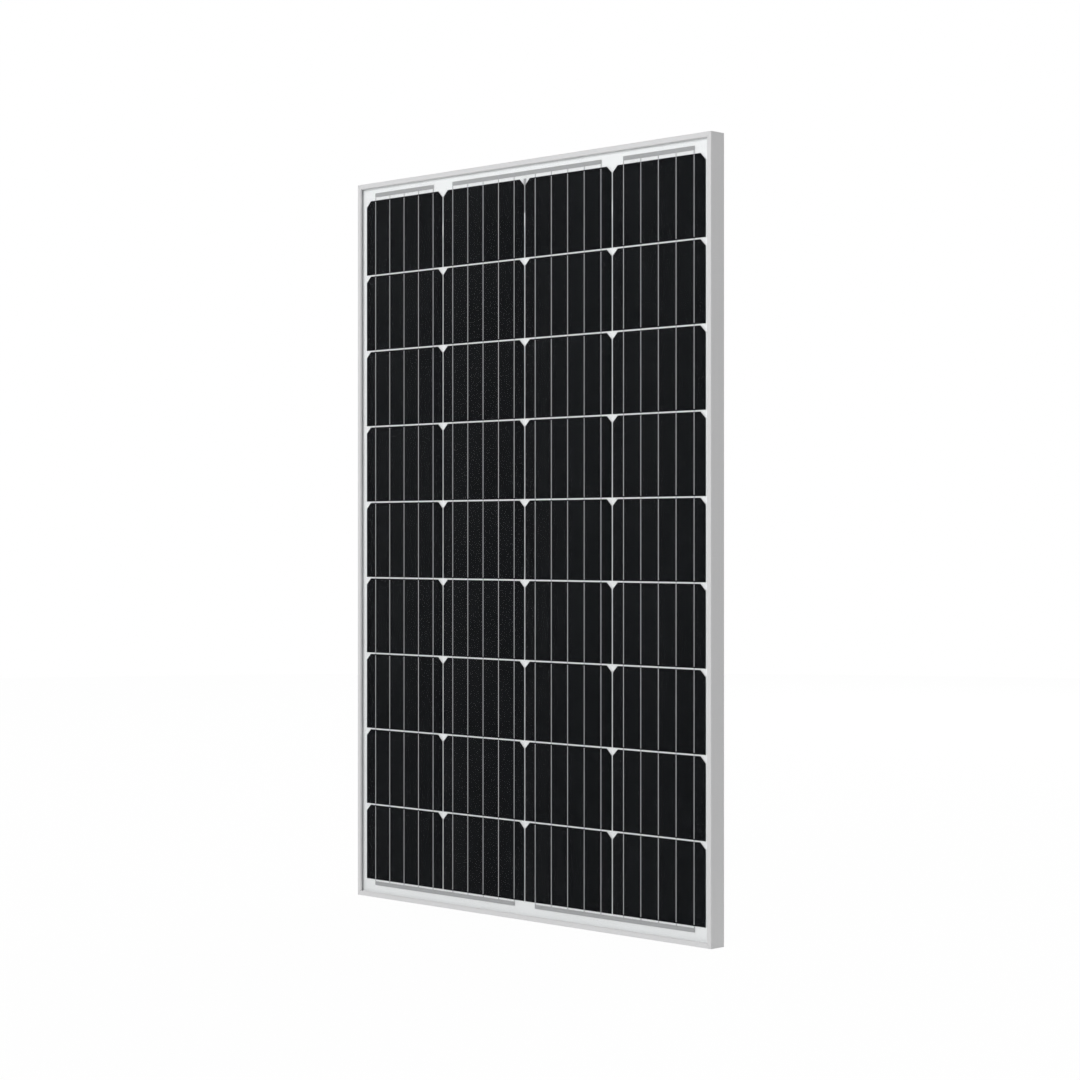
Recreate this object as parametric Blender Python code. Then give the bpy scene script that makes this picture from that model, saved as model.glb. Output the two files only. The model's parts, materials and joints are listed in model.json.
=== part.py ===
"""Framed monocrystalline solar panel, upright, modelled at its real size in metres.

X runs across the panel, Z runs up its long side, and the glass faces -Y. The origin is the
centre of the plane in which the frame's rear flanges lie, the plane that bolts to a rack.
"""

import math

import bmesh
import bpy

# Overall size of the frame.
PANEL_WIDTH = 0.660
PANEL_HEIGHT = 1.005
FRAME_DEPTH = 0.025

# Extruded frame section.
WALL = 0.0015
LIP_WIDTH = 0.0064
LIP_THICKNESS = 0.0014
SEAT_WIDTH = 0.0100
SEAT_WALL = 0.0012
CHAMBER_DEPTH = 0.0070
FLANGE_WIDTH = 0.0280
FLANGE_THICKNESS = 0.0016
EDGE_CHAMFER = 0.0004
MITRE_GAP = 0.00015
SLOT_WIDTH = 0.009
SLOT_LENGTH = 0.014
SLOT_SPACING = 0.520
HOLE_LINE = 0.0150
GROUND_HOLE_RADIUS = 0.002
GROUND_HOLE_FROM_CENTRE = 0.060
DRAIN_WIDTH = 0.004
DRAIN_LENGTH = 0.012
DRAIN_FROM_CORNER = 0.060

# Corner keys inside the frame's chamber.
KEY_FIT = 0.0002
KEY_ARM = 0.036
KEY_TEETH = 4
KEY_TOOTH_PITCH = 0.005
KEY_TOOTH_DEPTH = 0.0008
KEY_TIP = 0.0015

# Laminate, from the glass to the backsheet.
GLASS_THICKNESS = 0.0032
ENCAPSULANT_THICKNESS = 0.0004
CELL_THICKNESS = 0.0002
INSULATION_THICKNESS = 0.0001
LEAD_THICKNESS = 0.00012
BACKSHEET_THICKNESS = 0.0003
LAYER_GAP = 0.00002
BED_GAP = 0.0003
LAMINATE_EDGE_GAP = 0.0008
SEALANT_SHOWS = 0.0005
SEALANT_SIDE_GAP = 0.00005

# Cells, their ribbons and the bus ribbons.
COLUMNS = 4
ROWS = 9
CELL_WIDTH = 0.15675
CELL_HEIGHT = 0.1045
CELL_GAP = 0.002
CELL_CHAMFER = 0.0085
TOP_MARGIN = 0.0242
RIBBONS_PER_CELL = 5
RIBBON_PITCH = 0.0298
RIBBON_WIDTH = 0.0012
RIBBON_PROUD = 0.00016
RIBBON_SUNK = 0.00002
RIBBON_INSET = 0.0015
BUS_WIDTH = 0.0055
BUS_OVERHANG = 0.0008
TOP_BUS_FROM_EDGE = 0.0168
BOTTOM_BUS_FROM_EDGE = 0.0190
LEAD_WIDTH = 0.005
LEAD_BEND = 0.003
INSULATION_MARGIN = 0.007
LEAD_HOLE_MARGIN = 0.0015

# Junction box on the back.
BOX_WIDTH = 0.110
BOX_HEIGHT = 0.088
BOX_BELOW_FLANGE = 0.0345
BOX_WALL = 0.0022
BOX_FLOOR = 0.0016
BOX_CORNER = 0.006
BOX_BELOW_REAR_PLANE = 0.0006
ADHESIVE_THICKNESS = 0.0007
ADHESIVE_WIDTH = 0.010
ADHESIVE_INSET = 0.002
LID_THICKNESS = 0.002
LID_SKIRT = 0.0015
LID_SKIRT_REACH = 0.005
LID_CLEARANCE = 0.0003
SEAL_THICKNESS = 0.0006
SEAL_WIDTH = 0.0016
SEAL_GAP = 0.0001
LATCH_WIDTH = 0.010
LATCH_REACH = 0.0034
LEDGE_THICKNESS = 0.0010

# Hinge of the lid.
HINGE_SPACING = 0.064
HINGE_LUG_WIDTH = 0.008
HINGE_ARM_WIDTH = 0.004
HINGE_RADIUS = 0.0024
HINGE_PIN_RADIUS = 0.0010
HINGE_PIN_FIT = 0.00015
HINGE_SIDE_GAP = 0.0003
HINGE_CLEARS_LID = 0.0006
HINGE_BELOW_LID_TOP = 0.0034

# Terminals, diodes and cable clamps inside the box.
TERMINAL_SPACING = 0.030
TERMINAL_WIDTH = 0.012
TERMINAL_LENGTH = 0.0246
TERMINAL_THICKNESS = 0.001
TERMINAL_LUG = 0.004
TERMINAL_BELOW_BOX_TOP = 0.0164
POST_INSIDE_TERMINAL = 0.001
POST_LENGTH = 0.018
POST_HEIGHT = 0.0023
REST_GAP = 0.0002
CLEARANCE = 0.0003
FLOOR_SLOT_MARGIN = 0.0035
FLOOR_SLOT_WIDTH = 0.0048
DIODE_RADIUS = 0.0024
DIODE_LENGTH = 0.009
DIODE_WIRE_RADIUS = 0.0006
DIODE_WIRE_OVERLAP = 0.002
DIODE_FROM_LUG = 0.0072
CLAMP_SIDE = 0.009
CLAMP_THICKNESS = 0.001
CLAMP_FROM_LUG = 0.0176
SCREW_RADIUS = 0.0015
SCREW_HEAD_RADIUS = 0.0028
SCREW_HEAD_HEIGHT = 0.002
SCREW_DRIVE_WIDTH = 0.0008
SCREW_DRIVE_DEPTH = 0.0009
SCREW_END_GAP = 0.0004
SCREW_HOLE_CLEARANCE = 0.0002

# Cable glands under the box, from the cable outwards.
GLAND_SPACING = 0.060
GLAND_SEAL_BORE = 0.0031
GLAND_SEAL_WALL = 0.0013
GLAND_SEAL_FIT = 0.0002
SPIGOT_WALL = 0.0014
SPIGOT_LENGTH = 0.012
SPIGOT_ROOT = 0.0002
THREAD_CLEARANCE = 0.0003
RING_INSIDE_NUT = 0.0007
RING_BORE_CLEARANCE = 0.0003
RING_LENGTH = 0.0034
NUT_WALL = 0.0013
NUT_FLUTE_DEPTH = 0.0005
NUT_FLUTES = 12
NUT_HOLE_CLEARANCE = 0.0001
NUT_END_WALL = 0.0016
NUT_FROM_BOX = 0.0026
NUT_FROM_BACKSHEET = 0.0007

ROUND = 24
CORNER_STEPS = 4
OVERCUT = 0.001

# Planes along Y, worked out from the frame's front face towards the back.
FRONT = -FRAME_DEPTH
LIP_BACK = FRONT + LIP_THICKNESS
GLASS_FRONT = LIP_BACK + BED_GAP
GLASS_BACK = GLASS_FRONT + GLASS_THICKNESS
FRONT_SHEET_FRONT = GLASS_BACK + LAYER_GAP
FRONT_SHEET_BACK = FRONT_SHEET_FRONT + ENCAPSULANT_THICKNESS
RIBBON_FRONT = FRONT_SHEET_BACK + LAYER_GAP
CELL_FRONT = RIBBON_FRONT + RIBBON_PROUD
CELL_BACK = CELL_FRONT + CELL_THICKNESS
RIBBON_BACK = CELL_BACK + RIBBON_PROUD
BUS_FRONT = CELL_FRONT + RIBBON_SUNK + LAYER_GAP
BUS_BACK = CELL_BACK - RIBBON_SUNK - LAYER_GAP
INSULATION_FRONT = RIBBON_BACK + LAYER_GAP
INSULATION_BACK = INSULATION_FRONT + INSULATION_THICKNESS
LEAD_FRONT = INSULATION_BACK + LAYER_GAP
LEAD_BACK = LEAD_FRONT + LEAD_THICKNESS
REAR_SHEET_FRONT = LEAD_BACK + LAYER_GAP
REAR_SHEET_BACK = REAR_SHEET_FRONT + ENCAPSULANT_THICKNESS
BACKSHEET_FRONT = REAR_SHEET_BACK + LAYER_GAP
BACKSHEET_BACK = BACKSHEET_FRONT + BACKSHEET_THICKNESS
SEAT_FRONT = BACKSHEET_BACK + BED_GAP
CHAMBER_FRONT = SEAT_FRONT + SEAT_WALL
CHAMBER_BACK = CHAMBER_FRONT + CHAMBER_DEPTH
SEAT_BACK = CHAMBER_BACK + SEAT_WALL
FLANGE_FRONT = -FLANGE_THICKNESS

# Places across and up the panel.
HALF_WIDTH = PANEL_WIDTH / 2
HALF_HEIGHT = PANEL_HEIGHT / 2
LAMINATE_INSET = WALL + LAMINATE_EDGE_GAP
CELL_PITCH_X = CELL_WIDTH + CELL_GAP
CELL_PITCH_Z = CELL_HEIGHT + CELL_GAP
CELLS_TOP = HALF_HEIGHT - TOP_MARGIN
RIBBON_SPAN = (RIBBONS_PER_CELL - 1) * RIBBON_PITCH
TOP_BUS_Z = HALF_HEIGHT - TOP_BUS_FROM_EDGE
BOTTOM_BUS_Z = -HALF_HEIGHT + BOTTOM_BUS_FROM_EDGE

# Places in the junction box.
BOX_TOP = HALF_HEIGHT - FLANGE_WIDTH - BOX_BELOW_FLANGE
BOX_BOTTOM = BOX_TOP - BOX_HEIGHT
BOX_BACK = -BOX_BELOW_REAR_PLANE
FLOOR_FRONT = BACKSHEET_BACK + ADHESIVE_THICKNESS
FLOOR_BACK = FLOOR_FRONT + BOX_FLOOR
LID_UNDERSIDE = BOX_BACK - LID_THICKNESS
RIM = LID_UNDERSIDE - SEAL_THICKNESS - 2 * SEAL_GAP
LEAD_HOLE_Z = BOX_TOP - TERMINAL_BELOW_BOX_TOP + CLEARANCE + LEAD_THICKNESS / 2
TERMINAL_TOP = BOX_TOP - TERMINAL_BELOW_BOX_TOP
POST_HALF_WIDTH = TERMINAL_WIDTH / 2 - POST_INSIDE_TERMINAL
POST_BACK = FLOOR_BACK + POST_HEIGHT
TERMINAL_FRONT = POST_BACK + REST_GAP
TERMINAL_BACK = TERMINAL_FRONT + TERMINAL_THICKNESS
CLAMP_Z = TERMINAL_TOP - CLAMP_FROM_LUG
CLAMP_FRONT = TERMINAL_BACK + CLEARANCE
CLAMP_BACK = CLAMP_FRONT + CLAMP_THICKNESS
SCREW_HEAD_FRONT = CLAMP_BACK + REST_GAP
SCREW_HOLE_RADIUS = SCREW_RADIUS + SCREW_HOLE_CLEARANCE
DIODE_Y = TERMINAL_BACK + REST_GAP + DIODE_WIRE_RADIUS
DIODE_Z = TERMINAL_TOP - DIODE_FROM_LUG
GLAND_SEAL_RADIUS = GLAND_SEAL_BORE + GLAND_SEAL_WALL
SPIGOT_BORE = GLAND_SEAL_RADIUS + GLAND_SEAL_FIT
SPIGOT_RADIUS = SPIGOT_BORE + SPIGOT_WALL
NUT_BORE = SPIGOT_RADIUS + THREAD_CLEARANCE
NUT_RADIUS = NUT_BORE + NUT_WALL
RING_RADIUS = NUT_BORE - RING_INSIDE_NUT
RING_BORE = GLAND_SEAL_BORE + RING_BORE_CLEARANCE
NUT_HOLE = RING_BORE + NUT_HOLE_CLEARANCE
GLAND_Y = BACKSHEET_BACK + NUT_FROM_BACKSHEET + NUT_RADIUS
SPIGOT_END = BOX_BOTTOM - SPIGOT_LENGTH
NUT_TOP = BOX_BOTTOM - NUT_FROM_BOX
RING_TOP = SPIGOT_END - CLEARANCE
RING_BOTTOM = RING_TOP - RING_LENGTH
NUT_FLOOR = RING_BOTTOM - CLEARANCE
NUT_BOTTOM = NUT_FLOOR - NUT_END_WALL
HINGE_Y = BOX_BACK - HINGE_BELOW_LID_TOP
HINGE_Z = BOX_TOP + HINGE_RADIUS + HINGE_CLEARS_LID

SIDES = (("left", -1), ("right", 1))
AXES = {"X": (0, 1, 2), "Y": (1, 0, 2), "Z": (2, 0, 1)}


# Outlines: lists of points in a plane.


def rectangle(low_a, low_b, high_a, high_b):
    return [(low_a, low_b), (high_a, low_b), (high_a, high_b), (low_a, high_b)]


def circle(a, b, radius, steps=ROUND):
    turn = 2 * math.pi / steps
    return [(a + radius * math.cos(i * turn), b + radius * math.sin(i * turn)) for i in range(steps)]


def fluted(a, b, radius, depth, flutes):
    """A round outline with grip flutes, each a flat ridge and a flat groove."""
    points = []
    for i in range(4 * flutes):
        turn = 2 * math.pi * i / (4 * flutes)
        reach = radius - (depth if i % 4 > 1 else 0)
        points.append((a + reach * math.cos(turn), b + reach * math.sin(turn)))
    return points


def rounded(low_a, low_b, high_a, high_b, radius):
    """A rectangle with a quarter circle at each corner."""
    points = []
    corners = ((high_a, high_b), (low_a, high_b), (low_a, low_b), (high_a, low_b))
    for quarter, (a, b) in enumerate(corners):
        centre_a = a - radius if a == high_a else a + radius
        centre_b = b - radius if b == high_b else b + radius
        for step in range(CORNER_STEPS + 1):
            turn = math.pi / 2 * (quarter + step / CORNER_STEPS)
            points.append((centre_a + radius * math.cos(turn), centre_b + radius * math.sin(turn)))
    return points


def slotted(a, b, width, length, along_b):
    """A slot with round ends, centred on a, b."""
    half = (length - width) / 2
    points = []
    for end in (0, 1):
        for step in range(ROUND // 2 + 1):
            turn = math.pi * (end + 2 * step / ROUND)
            across = width / 2 * math.cos(turn)
            along = width / 2 * math.sin(turn) + (half if end == 0 else -half)
            points.append((a + across, b + along) if along_b else (a + along, b - across))
    return points


# Shapes: each is a list of points in space with the faces that join them.


def prism(outline, axis, low, high):
    """The outline carried straight along an axis from low to high."""
    along, first, second = AXES[axis]
    points = []
    for level in (low, high):
        for a, b in outline:
            point = [0.0, 0.0, 0.0]
            point[along], point[first], point[second] = level, a, b
            points.append(tuple(point))
    count = len(outline)
    faces = [tuple(range(count)), tuple(range(2 * count - 1, count - 1, -1))]
    for i in range(count):
        j = (i + 1) % count
        faces.append((j, i, i + count, j + count))
    return points, faces


def block(low, high):
    return prism(rectangle(low[0], low[1], high[0], high[1]), "Z", low[2], high[2])


def cylinder(axis, a, b, radius, low, high):
    return prism(circle(a, b, radius), axis, low, high)


def turned(axis, a, b, profile, closed=True):
    """A profile of (radius, place along the axis) turned about the line through a, b."""
    along, first, second = AXES[axis]
    points = []
    for radius, level in profile:
        for place_a, place_b in circle(a, b, radius):
            point = [0.0, 0.0, 0.0]
            point[along], point[first], point[second] = level, place_a, place_b
            points.append(tuple(point))
    loops = len(profile)
    faces = []
    for k in range(loops if closed else loops - 1):
        here, there = k * ROUND, (k + 1) % loops * ROUND
        for i in range(ROUND):
            j = (i + 1) % ROUND
            faces.append((here + i, here + j, there + j, there + i))
    if not closed:
        faces.append(tuple(range(ROUND)))
        faces.append(tuple(range((loops - 1) * ROUND, loops * ROUND)))
    return points, faces


def ring(profile, half_width, half_height, middle_z=0.0):
    """A profile of (distance in from the edge, Y) carried round a rectangle, mitred at its corners."""
    points = []
    for side_x, side_z in ((-1, -1), (1, -1), (1, 1), (-1, 1)):
        for inward, y in profile:
            x = side_x * (half_width - inward)
            points.append((x, y, middle_z + side_z * (half_height - inward)))
    count = len(profile)
    faces = []
    for corner in range(4):
        here, there = corner * count, (corner + 1) % 4 * count
        for i in range(count):
            j = (i + 1) % count
            faces.append((here + i, here + j, there + j, there + i))
    return points, faces


def mitred(profile, upright, side):
    """A profile of (distance in from the edge, Y) along one side of the frame, cut at 45 degrees."""
    shorten = MITRE_GAP / math.sqrt(2)
    points = []
    for end in (-1, 1):
        for inward, y in profile:
            across = side * ((HALF_WIDTH if upright else HALF_HEIGHT) - inward)
            along = end * ((HALF_HEIGHT if upright else HALF_WIDTH) - inward - shorten)
            points.append((across, y, along) if upright else (along, y, across))
    count = len(profile)
    faces = [tuple(range(count)), tuple(range(2 * count - 1, count - 1, -1))]
    for i in range(count):
        j = (i + 1) % count
        faces.append((j, i, i + count, j + count))
    return points, faces


# Objects.


def clear_scene():
    for obj in list(bpy.data.objects):
        bpy.data.objects.remove(obj, do_unlink=True)


def finish(name, colour, roughness, metallic=0.0, alpha=1.0):
    material = bpy.data.materials.new(name)
    material.use_nodes = True
    shader = material.node_tree.nodes["Principled BSDF"]
    shader.inputs["Base Color"].default_value = (*colour, 1.0)
    shader.inputs["Roughness"].default_value = roughness
    shader.inputs["Metallic"].default_value = metallic
    shader.inputs["Alpha"].default_value = alpha
    material.diffuse_color = (*colour, alpha)
    return material


def mesh_from(name, shapes, origin):
    """One mesh from shapes that don't touch, with every face turned outwards."""
    mesh = bpy.data.meshes.new(name)
    shape_mesh = bmesh.new()
    for points, faces in shapes:
        corners = [shape_mesh.verts.new([p - o for p, o in zip(point, origin)]) for point in points]
        for face in faces:
            shape_mesh.faces.new([corners[i] for i in face])
    bmesh.ops.recalc_face_normals(shape_mesh, faces=shape_mesh.faces)
    shape_mesh.to_mesh(mesh)
    shape_mesh.free()
    return mesh


def piece(name, material, shapes, steps=(), origin=(0.0, 0.0, 0.0), smooth=False, bevel=0.0):
    """A named object. Each step joins a group of shapes to it, or cuts the group out of it."""
    mesh = mesh_from(name, shapes, origin)
    mesh.materials.append(material)
    obj = bpy.data.objects.new(name, mesh)
    obj.location = origin
    bpy.context.collection.objects.link(obj)
    if bevel:
        edges = obj.modifiers.new("edges", "BEVEL")
        edges.width = bevel
        edges.segments = 1
        edges.limit_method = "ANGLE"
    for number, (operation, group) in enumerate(steps, 1):
        tool_name = f"{name}_{operation.lower()}_{number}"
        tool = bpy.data.objects.new(tool_name, mesh_from(tool_name, group, origin))
        tool.parent = obj
        tool.hide_render = True
        tool.display_type = "WIRE"
        bpy.context.collection.objects.link(tool)
        boolean = obj.modifiers.new(tool_name, "BOOLEAN")
        boolean.operation = operation
        boolean.object = tool
        boolean.solver = "EXACT"
    if smooth:
        mesh.shade_smooth()
        mesh.set_sharp_from_angle(angle=math.radians(30))
    return obj


JOIN, CUT = "UNION", "DIFFERENCE"


# Frame.


def rail_profile():
    return [
        (EDGE_CHAMFER, FRONT),
        (LIP_WIDTH, FRONT),
        (LIP_WIDTH, LIP_BACK),
        (WALL, LIP_BACK),
        (WALL, SEAT_FRONT),
        (SEAT_WIDTH, SEAT_FRONT),
        (SEAT_WIDTH, SEAT_BACK),
        (WALL, SEAT_BACK),
        (WALL, FLANGE_FRONT),
        (FLANGE_WIDTH, FLANGE_FRONT),
        (FLANGE_WIDTH, 0.0),
        (EDGE_CHAMFER, 0.0),
        (0.0, -EDGE_CHAMFER),
        (0.0, FRONT + EDGE_CHAMFER),
    ]


def rail_cuts(upright, side):
    """The chamber for the corner keys, and the slots and holes of the rear flange."""
    half_across = HALF_WIDTH if upright else HALF_HEIGHT
    half_along = HALF_HEIGHT if upright else HALF_WIDTH
    near, far = side * (half_across - WALL), side * (half_across - SEAT_WIDTH + SEAT_WALL)
    low, high = min(near, far), max(near, far)
    section = rectangle(low, CHAMBER_FRONT, high, CHAMBER_BACK)
    line = side * (half_across - HOLE_LINE)
    if upright:
        chamber = prism(section, "Z", -half_along - OVERCUT, half_along + OVERCUT)
        outlines = [slotted(line, end * SLOT_SPACING / 2, SLOT_WIDTH, SLOT_LENGTH, True) for end in (-1, 1)]
        outlines.append(circle(line, GROUND_HOLE_FROM_CENTRE, GROUND_HOLE_RADIUS))
    else:
        turned_section = [(y, z) for z, y in section]
        chamber = prism(turned_section, "X", -half_along - OVERCUT, half_along + OVERCUT)
        reach = half_along - DRAIN_FROM_CORNER
        outlines = [slotted(end * reach, line, DRAIN_WIDTH, DRAIN_LENGTH, False) for end in (-1, 1)]
    holes = [prism(outline, "Y", FLANGE_FRONT - OVERCUT, OVERCUT) for outline in outlines]
    return [chamber, *holes]


def make_frame(aluminium):
    for name, upright, side in (
        ("frame_rail_left", True, -1),
        ("frame_rail_right", True, 1),
        ("frame_rail_top", False, 1),
        ("frame_rail_bottom", False, -1),
    ):
        rail = mitred(rail_profile(), upright, side)
        piece(name, aluminium, [rail], [(CUT, rail_cuts(upright, side))])


def key_outline():
    """One arm and half of the heel of a corner key, as (along the arm, in from the edge)."""
    near = WALL + KEY_FIT
    far = SEAT_WIDTH - SEAT_WALL - KEY_FIT
    points = []
    for tooth in range(KEY_TEETH):
        foot = KEY_ARM - KEY_TIP - KEY_TOOTH_PITCH * (KEY_TEETH - tooth)
        points += [(foot, far), (foot, far - KEY_TOOTH_DEPTH), (foot + KEY_TOOTH_PITCH / 2, far)]
    points += [(KEY_ARM - KEY_TIP, far), (KEY_ARM, far - KEY_TIP), (KEY_ARM, near + KEY_TIP)]
    points += [(KEY_ARM - KEY_TIP, near)]
    return near, far, points


def make_corner_keys(aluminium):
    near, far, arm = key_outline()
    corner = [(far, far), *arm, (near, near)]
    corner += [(inward, along) for along, inward in reversed(arm)]
    for vertical, side_z in (("top", 1), ("bottom", -1)):
        for name, side_x in SIDES:
            outline = [(side_x * (HALF_WIDTH - a), side_z * (HALF_HEIGHT - b)) for a, b in corner]
            shape = prism(outline, "Y", CHAMBER_FRONT + KEY_FIT, CHAMBER_BACK - KEY_FIT)
            piece(f"corner_key_{vertical}_{name}", aluminium, [shape])


def make_sealant(silicone):
    """The U-shaped bead that beds the laminate in the frame's groove, just proud of the lip."""
    outer = WALL + SEALANT_SIDE_GAP
    inner = LAMINATE_INSET - SEALANT_SIDE_GAP
    front, back = LIP_BACK + LAYER_GAP, SEAT_FRONT - LAYER_GAP
    profile = [
        (outer, front),
        (LIP_WIDTH + SEALANT_SHOWS, front),
        (LIP_WIDTH + SEALANT_SHOWS, GLASS_FRONT - LAYER_GAP),
        (inner, GLASS_FRONT - LAYER_GAP),
        (inner, BACKSHEET_BACK + LAYER_GAP),
        (SEAT_WIDTH, BACKSHEET_BACK + LAYER_GAP),
        (SEAT_WIDTH, back),
        (outer, back),
    ]
    piece("edge_sealant", silicone, [ring(profile, HALF_WIDTH, HALF_HEIGHT)])


# Laminate.


def sheet(low_y, high_y):
    half_x, half_z = HALF_WIDTH - LAMINATE_INSET, HALF_HEIGHT - LAMINATE_INSET
    return block((-half_x, low_y, -half_z), (half_x, high_y, half_z))


def column_x(column):
    return (column - (COLUMNS - 1) / 2) * CELL_PITCH_X


def ribbon_x(column, ribbon):
    return column_x(column) + (ribbon - (RIBBONS_PER_CELL - 1) / 2) * RIBBON_PITCH


def cell_outline(column, row):
    """A rectangle whose two upper corners are cut off at 45 degrees."""
    x, top = column_x(column), CELLS_TOP - row * CELL_PITCH_Z
    half, bottom, cut = CELL_WIDTH / 2, top - CELL_HEIGHT, CELL_CHAMFER
    lower = [(x - half, bottom), (x + half, bottom)]
    right = [(x + half, top - cut), (x + half - cut, top)]
    return [*lower, *right, (x - half + cut, top), (x - half, top - cut)]


def ribbon_faces(on_front):
    """The two Y planes of a ribbon on a cell's front or back, its inner face sunk into the cell."""
    if on_front:
        return RIBBON_FRONT, CELL_FRONT + RIBBON_SUNK
    return CELL_BACK - RIBBON_SUNK, RIBBON_BACK


def straight_ribbon(x, on_front, low, high):
    near, far = ribbon_faces(on_front)
    return block((x - RIBBON_WIDTH / 2, near, low), (x + RIBBON_WIDTH / 2, far, high))


def stepped_ribbon(x, row, starts_in_front):
    """A ribbon that lies on one cell, then steps through the gap to the other face of the cell below."""
    above, below = ribbon_faces(starts_in_front), ribbon_faces(not starts_in_front)
    upper_top = CELLS_TOP - row * CELL_PITCH_Z - RIBBON_INSET
    upper_bottom = CELLS_TOP - row * CELL_PITCH_Z - CELL_HEIGHT
    lower_top = upper_bottom - CELL_GAP
    lower_bottom = lower_top - CELL_HEIGHT + RIBBON_INSET
    outline = [
        (above[0], upper_top),
        (above[0], upper_bottom),
        (below[0], lower_top),
        (below[0], lower_bottom),
        (below[1], lower_bottom),
        (below[1], lower_top),
        (above[1], upper_bottom),
        (above[1], upper_top),
    ]
    return prism(outline, "X", x - RIBBON_WIDTH / 2, x + RIBBON_WIDTH / 2)


def make_cell_strings(silicon):
    """One soldered string for each column. The current runs down the odd columns and up the even ones."""
    for column in range(COLUMNS):
        starts_in_front = column % 2 == 0
        cells = [prism(cell_outline(column, row), "Y", CELL_FRONT, CELL_BACK) for row in range(ROWS)]
        ribbons = []
        for ribbon in range(RIBBONS_PER_CELL):
            x = ribbon_x(column, ribbon)
            ribbons += [stepped_ribbon(x, row, starts_in_front) for row in range(ROWS - 1)]
            first_bottom = CELLS_TOP - CELL_HEIGHT + RIBBON_INSET
            top_end = TOP_BUS_Z + BUS_WIDTH / 2
            ribbons.append(straight_ribbon(x, not starts_in_front, first_bottom, top_end))
            last_top = CELLS_TOP - (ROWS - 1) * CELL_PITCH_Z - RIBBON_INSET
            bottom_end = BOTTOM_BUS_Z - BUS_WIDTH / 2
            ribbons.append(straight_ribbon(x, starts_in_front, bottom_end, last_top))
        piece(f"cell_string_{column + 1}", silicon, cells, [(JOIN, ribbons)])


def make_buses(tinned_copper):
    """Flat ribbons that join the strings in series: down 1, up 2, down 3, up 4."""
    for name, first, last, z in (
        ("bus_top_left", 0, 0, TOP_BUS_Z),
        ("bus_top_middle", 1, 2, TOP_BUS_Z),
        ("bus_top_right", 3, 3, TOP_BUS_Z),
        ("bus_bottom_left", 0, 1, BOTTOM_BUS_Z),
        ("bus_bottom_right", 2, 3, BOTTOM_BUS_Z),
    ):
        reach = RIBBON_SPAN / 2 + BUS_OVERHANG
        low, high = column_x(first) - reach, column_x(last) + reach
        shape = block((low, BUS_FRONT, z - BUS_WIDTH / 2), (high, BUS_BACK, z + BUS_WIDTH / 2))
        piece(name, tinned_copper, [shape])


def lead_places():
    """Name, place on the bus and place in the junction box, across the panel, of each lead."""
    between_ribbons = ribbon_x(0, RIBBONS_PER_CELL - 1) - RIBBON_PITCH / 2
    return (
        ("left", between_ribbons, -TERMINAL_SPACING),
        ("middle", 0.0, 0.0),
        ("right", -between_ribbons, TERMINAL_SPACING),
    )


def make_leads(tinned_copper, insulation):
    half = LEAD_WIDTH / 2
    bus_low, bus_high = TOP_BUS_Z - BUS_WIDTH / 2, TOP_BUS_Z + BUS_WIDTH / 2
    behind_bus = BUS_BACK + LAYER_GAP
    bend_low = bus_low - LEAD_BEND
    low, high = LEAD_HOLE_Z - half, LEAD_HOLE_Z + half
    for name, bus_x, box_x in lead_places():
        drop = [
            (behind_bus, bus_high),
            (behind_bus, bus_low),
            (LEAD_FRONT, bend_low),
            (LEAD_FRONT, low),
            (LEAD_BACK, low),
            (LEAD_BACK, bend_low),
            (behind_bus + LEAD_THICKNESS, bus_low),
            (behind_bus + LEAD_THICKNESS, bus_high),
        ]
        steps = []
        if bus_x != box_x:
            start, end = min(bus_x, box_x) - half, max(bus_x, box_x) + half
            steps.append((JOIN, [block((start, LEAD_FRONT, low), (end, LEAD_BACK, high))]))
        riser_low = (box_x - half, LEAD_FRONT, LEAD_HOLE_Z - LEAD_THICKNESS / 2)
        riser_high = (box_x + half, TERMINAL_FRONT + TERMINAL_LUG, LEAD_HOLE_Z + LEAD_THICKNESS / 2)
        steps.append((JOIN, [block(riser_low, riser_high)]))
        piece(f"lead_{name}", tinned_copper, [prism(drop, "X", bus_x - half, bus_x + half)], steps)
    reach = lead_places()[2][1] + half + INSULATION_MARGIN
    inner = reach - LEAD_WIDTH - 2 * INSULATION_MARGIN
    bar_low, bar_high = low - INSULATION_MARGIN, high + INSULATION_MARGIN
    top = CELLS_TOP + CELL_GAP / 2
    outline = [(-reach, bar_low), (reach, bar_low), (reach, top), (inner, top), (inner, bar_high)]
    outline += [(-inner, bar_high), (-inner, top), (-reach, top)]
    piece("insulation_strip", insulation, [prism(outline, "Y", INSULATION_FRONT, INSULATION_BACK)])


def lead_holes(low_y, high_y):
    """One hole for each lead, where it leaves the laminate for the junction box."""
    half_x = LEAD_WIDTH / 2 + LEAD_HOLE_MARGIN
    low, high = LEAD_HOLE_Z - LEAD_HOLE_MARGIN, LEAD_HOLE_Z + LEAD_HOLE_MARGIN
    return [
        block((box_x - half_x, low_y - OVERCUT, low), (box_x + half_x, high_y + OVERCUT, high))
        for _, _, box_x in lead_places()
    ]


def make_laminate(glass, encapsulant, white_sheet):
    piece("front_glass", glass, [sheet(GLASS_FRONT, GLASS_BACK)], bevel=EDGE_CHAMFER)
    piece("front_encapsulant", encapsulant, [sheet(FRONT_SHEET_FRONT, FRONT_SHEET_BACK)])
    for name, material, low, high in (
        ("rear_encapsulant", encapsulant, REAR_SHEET_FRONT, REAR_SHEET_BACK),
        ("backsheet", white_sheet, BACKSHEET_FRONT, BACKSHEET_BACK),
    ):
        piece(name, material, [sheet(low, high)], [(CUT, lead_holes(low, high))])


# Junction box.


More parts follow.
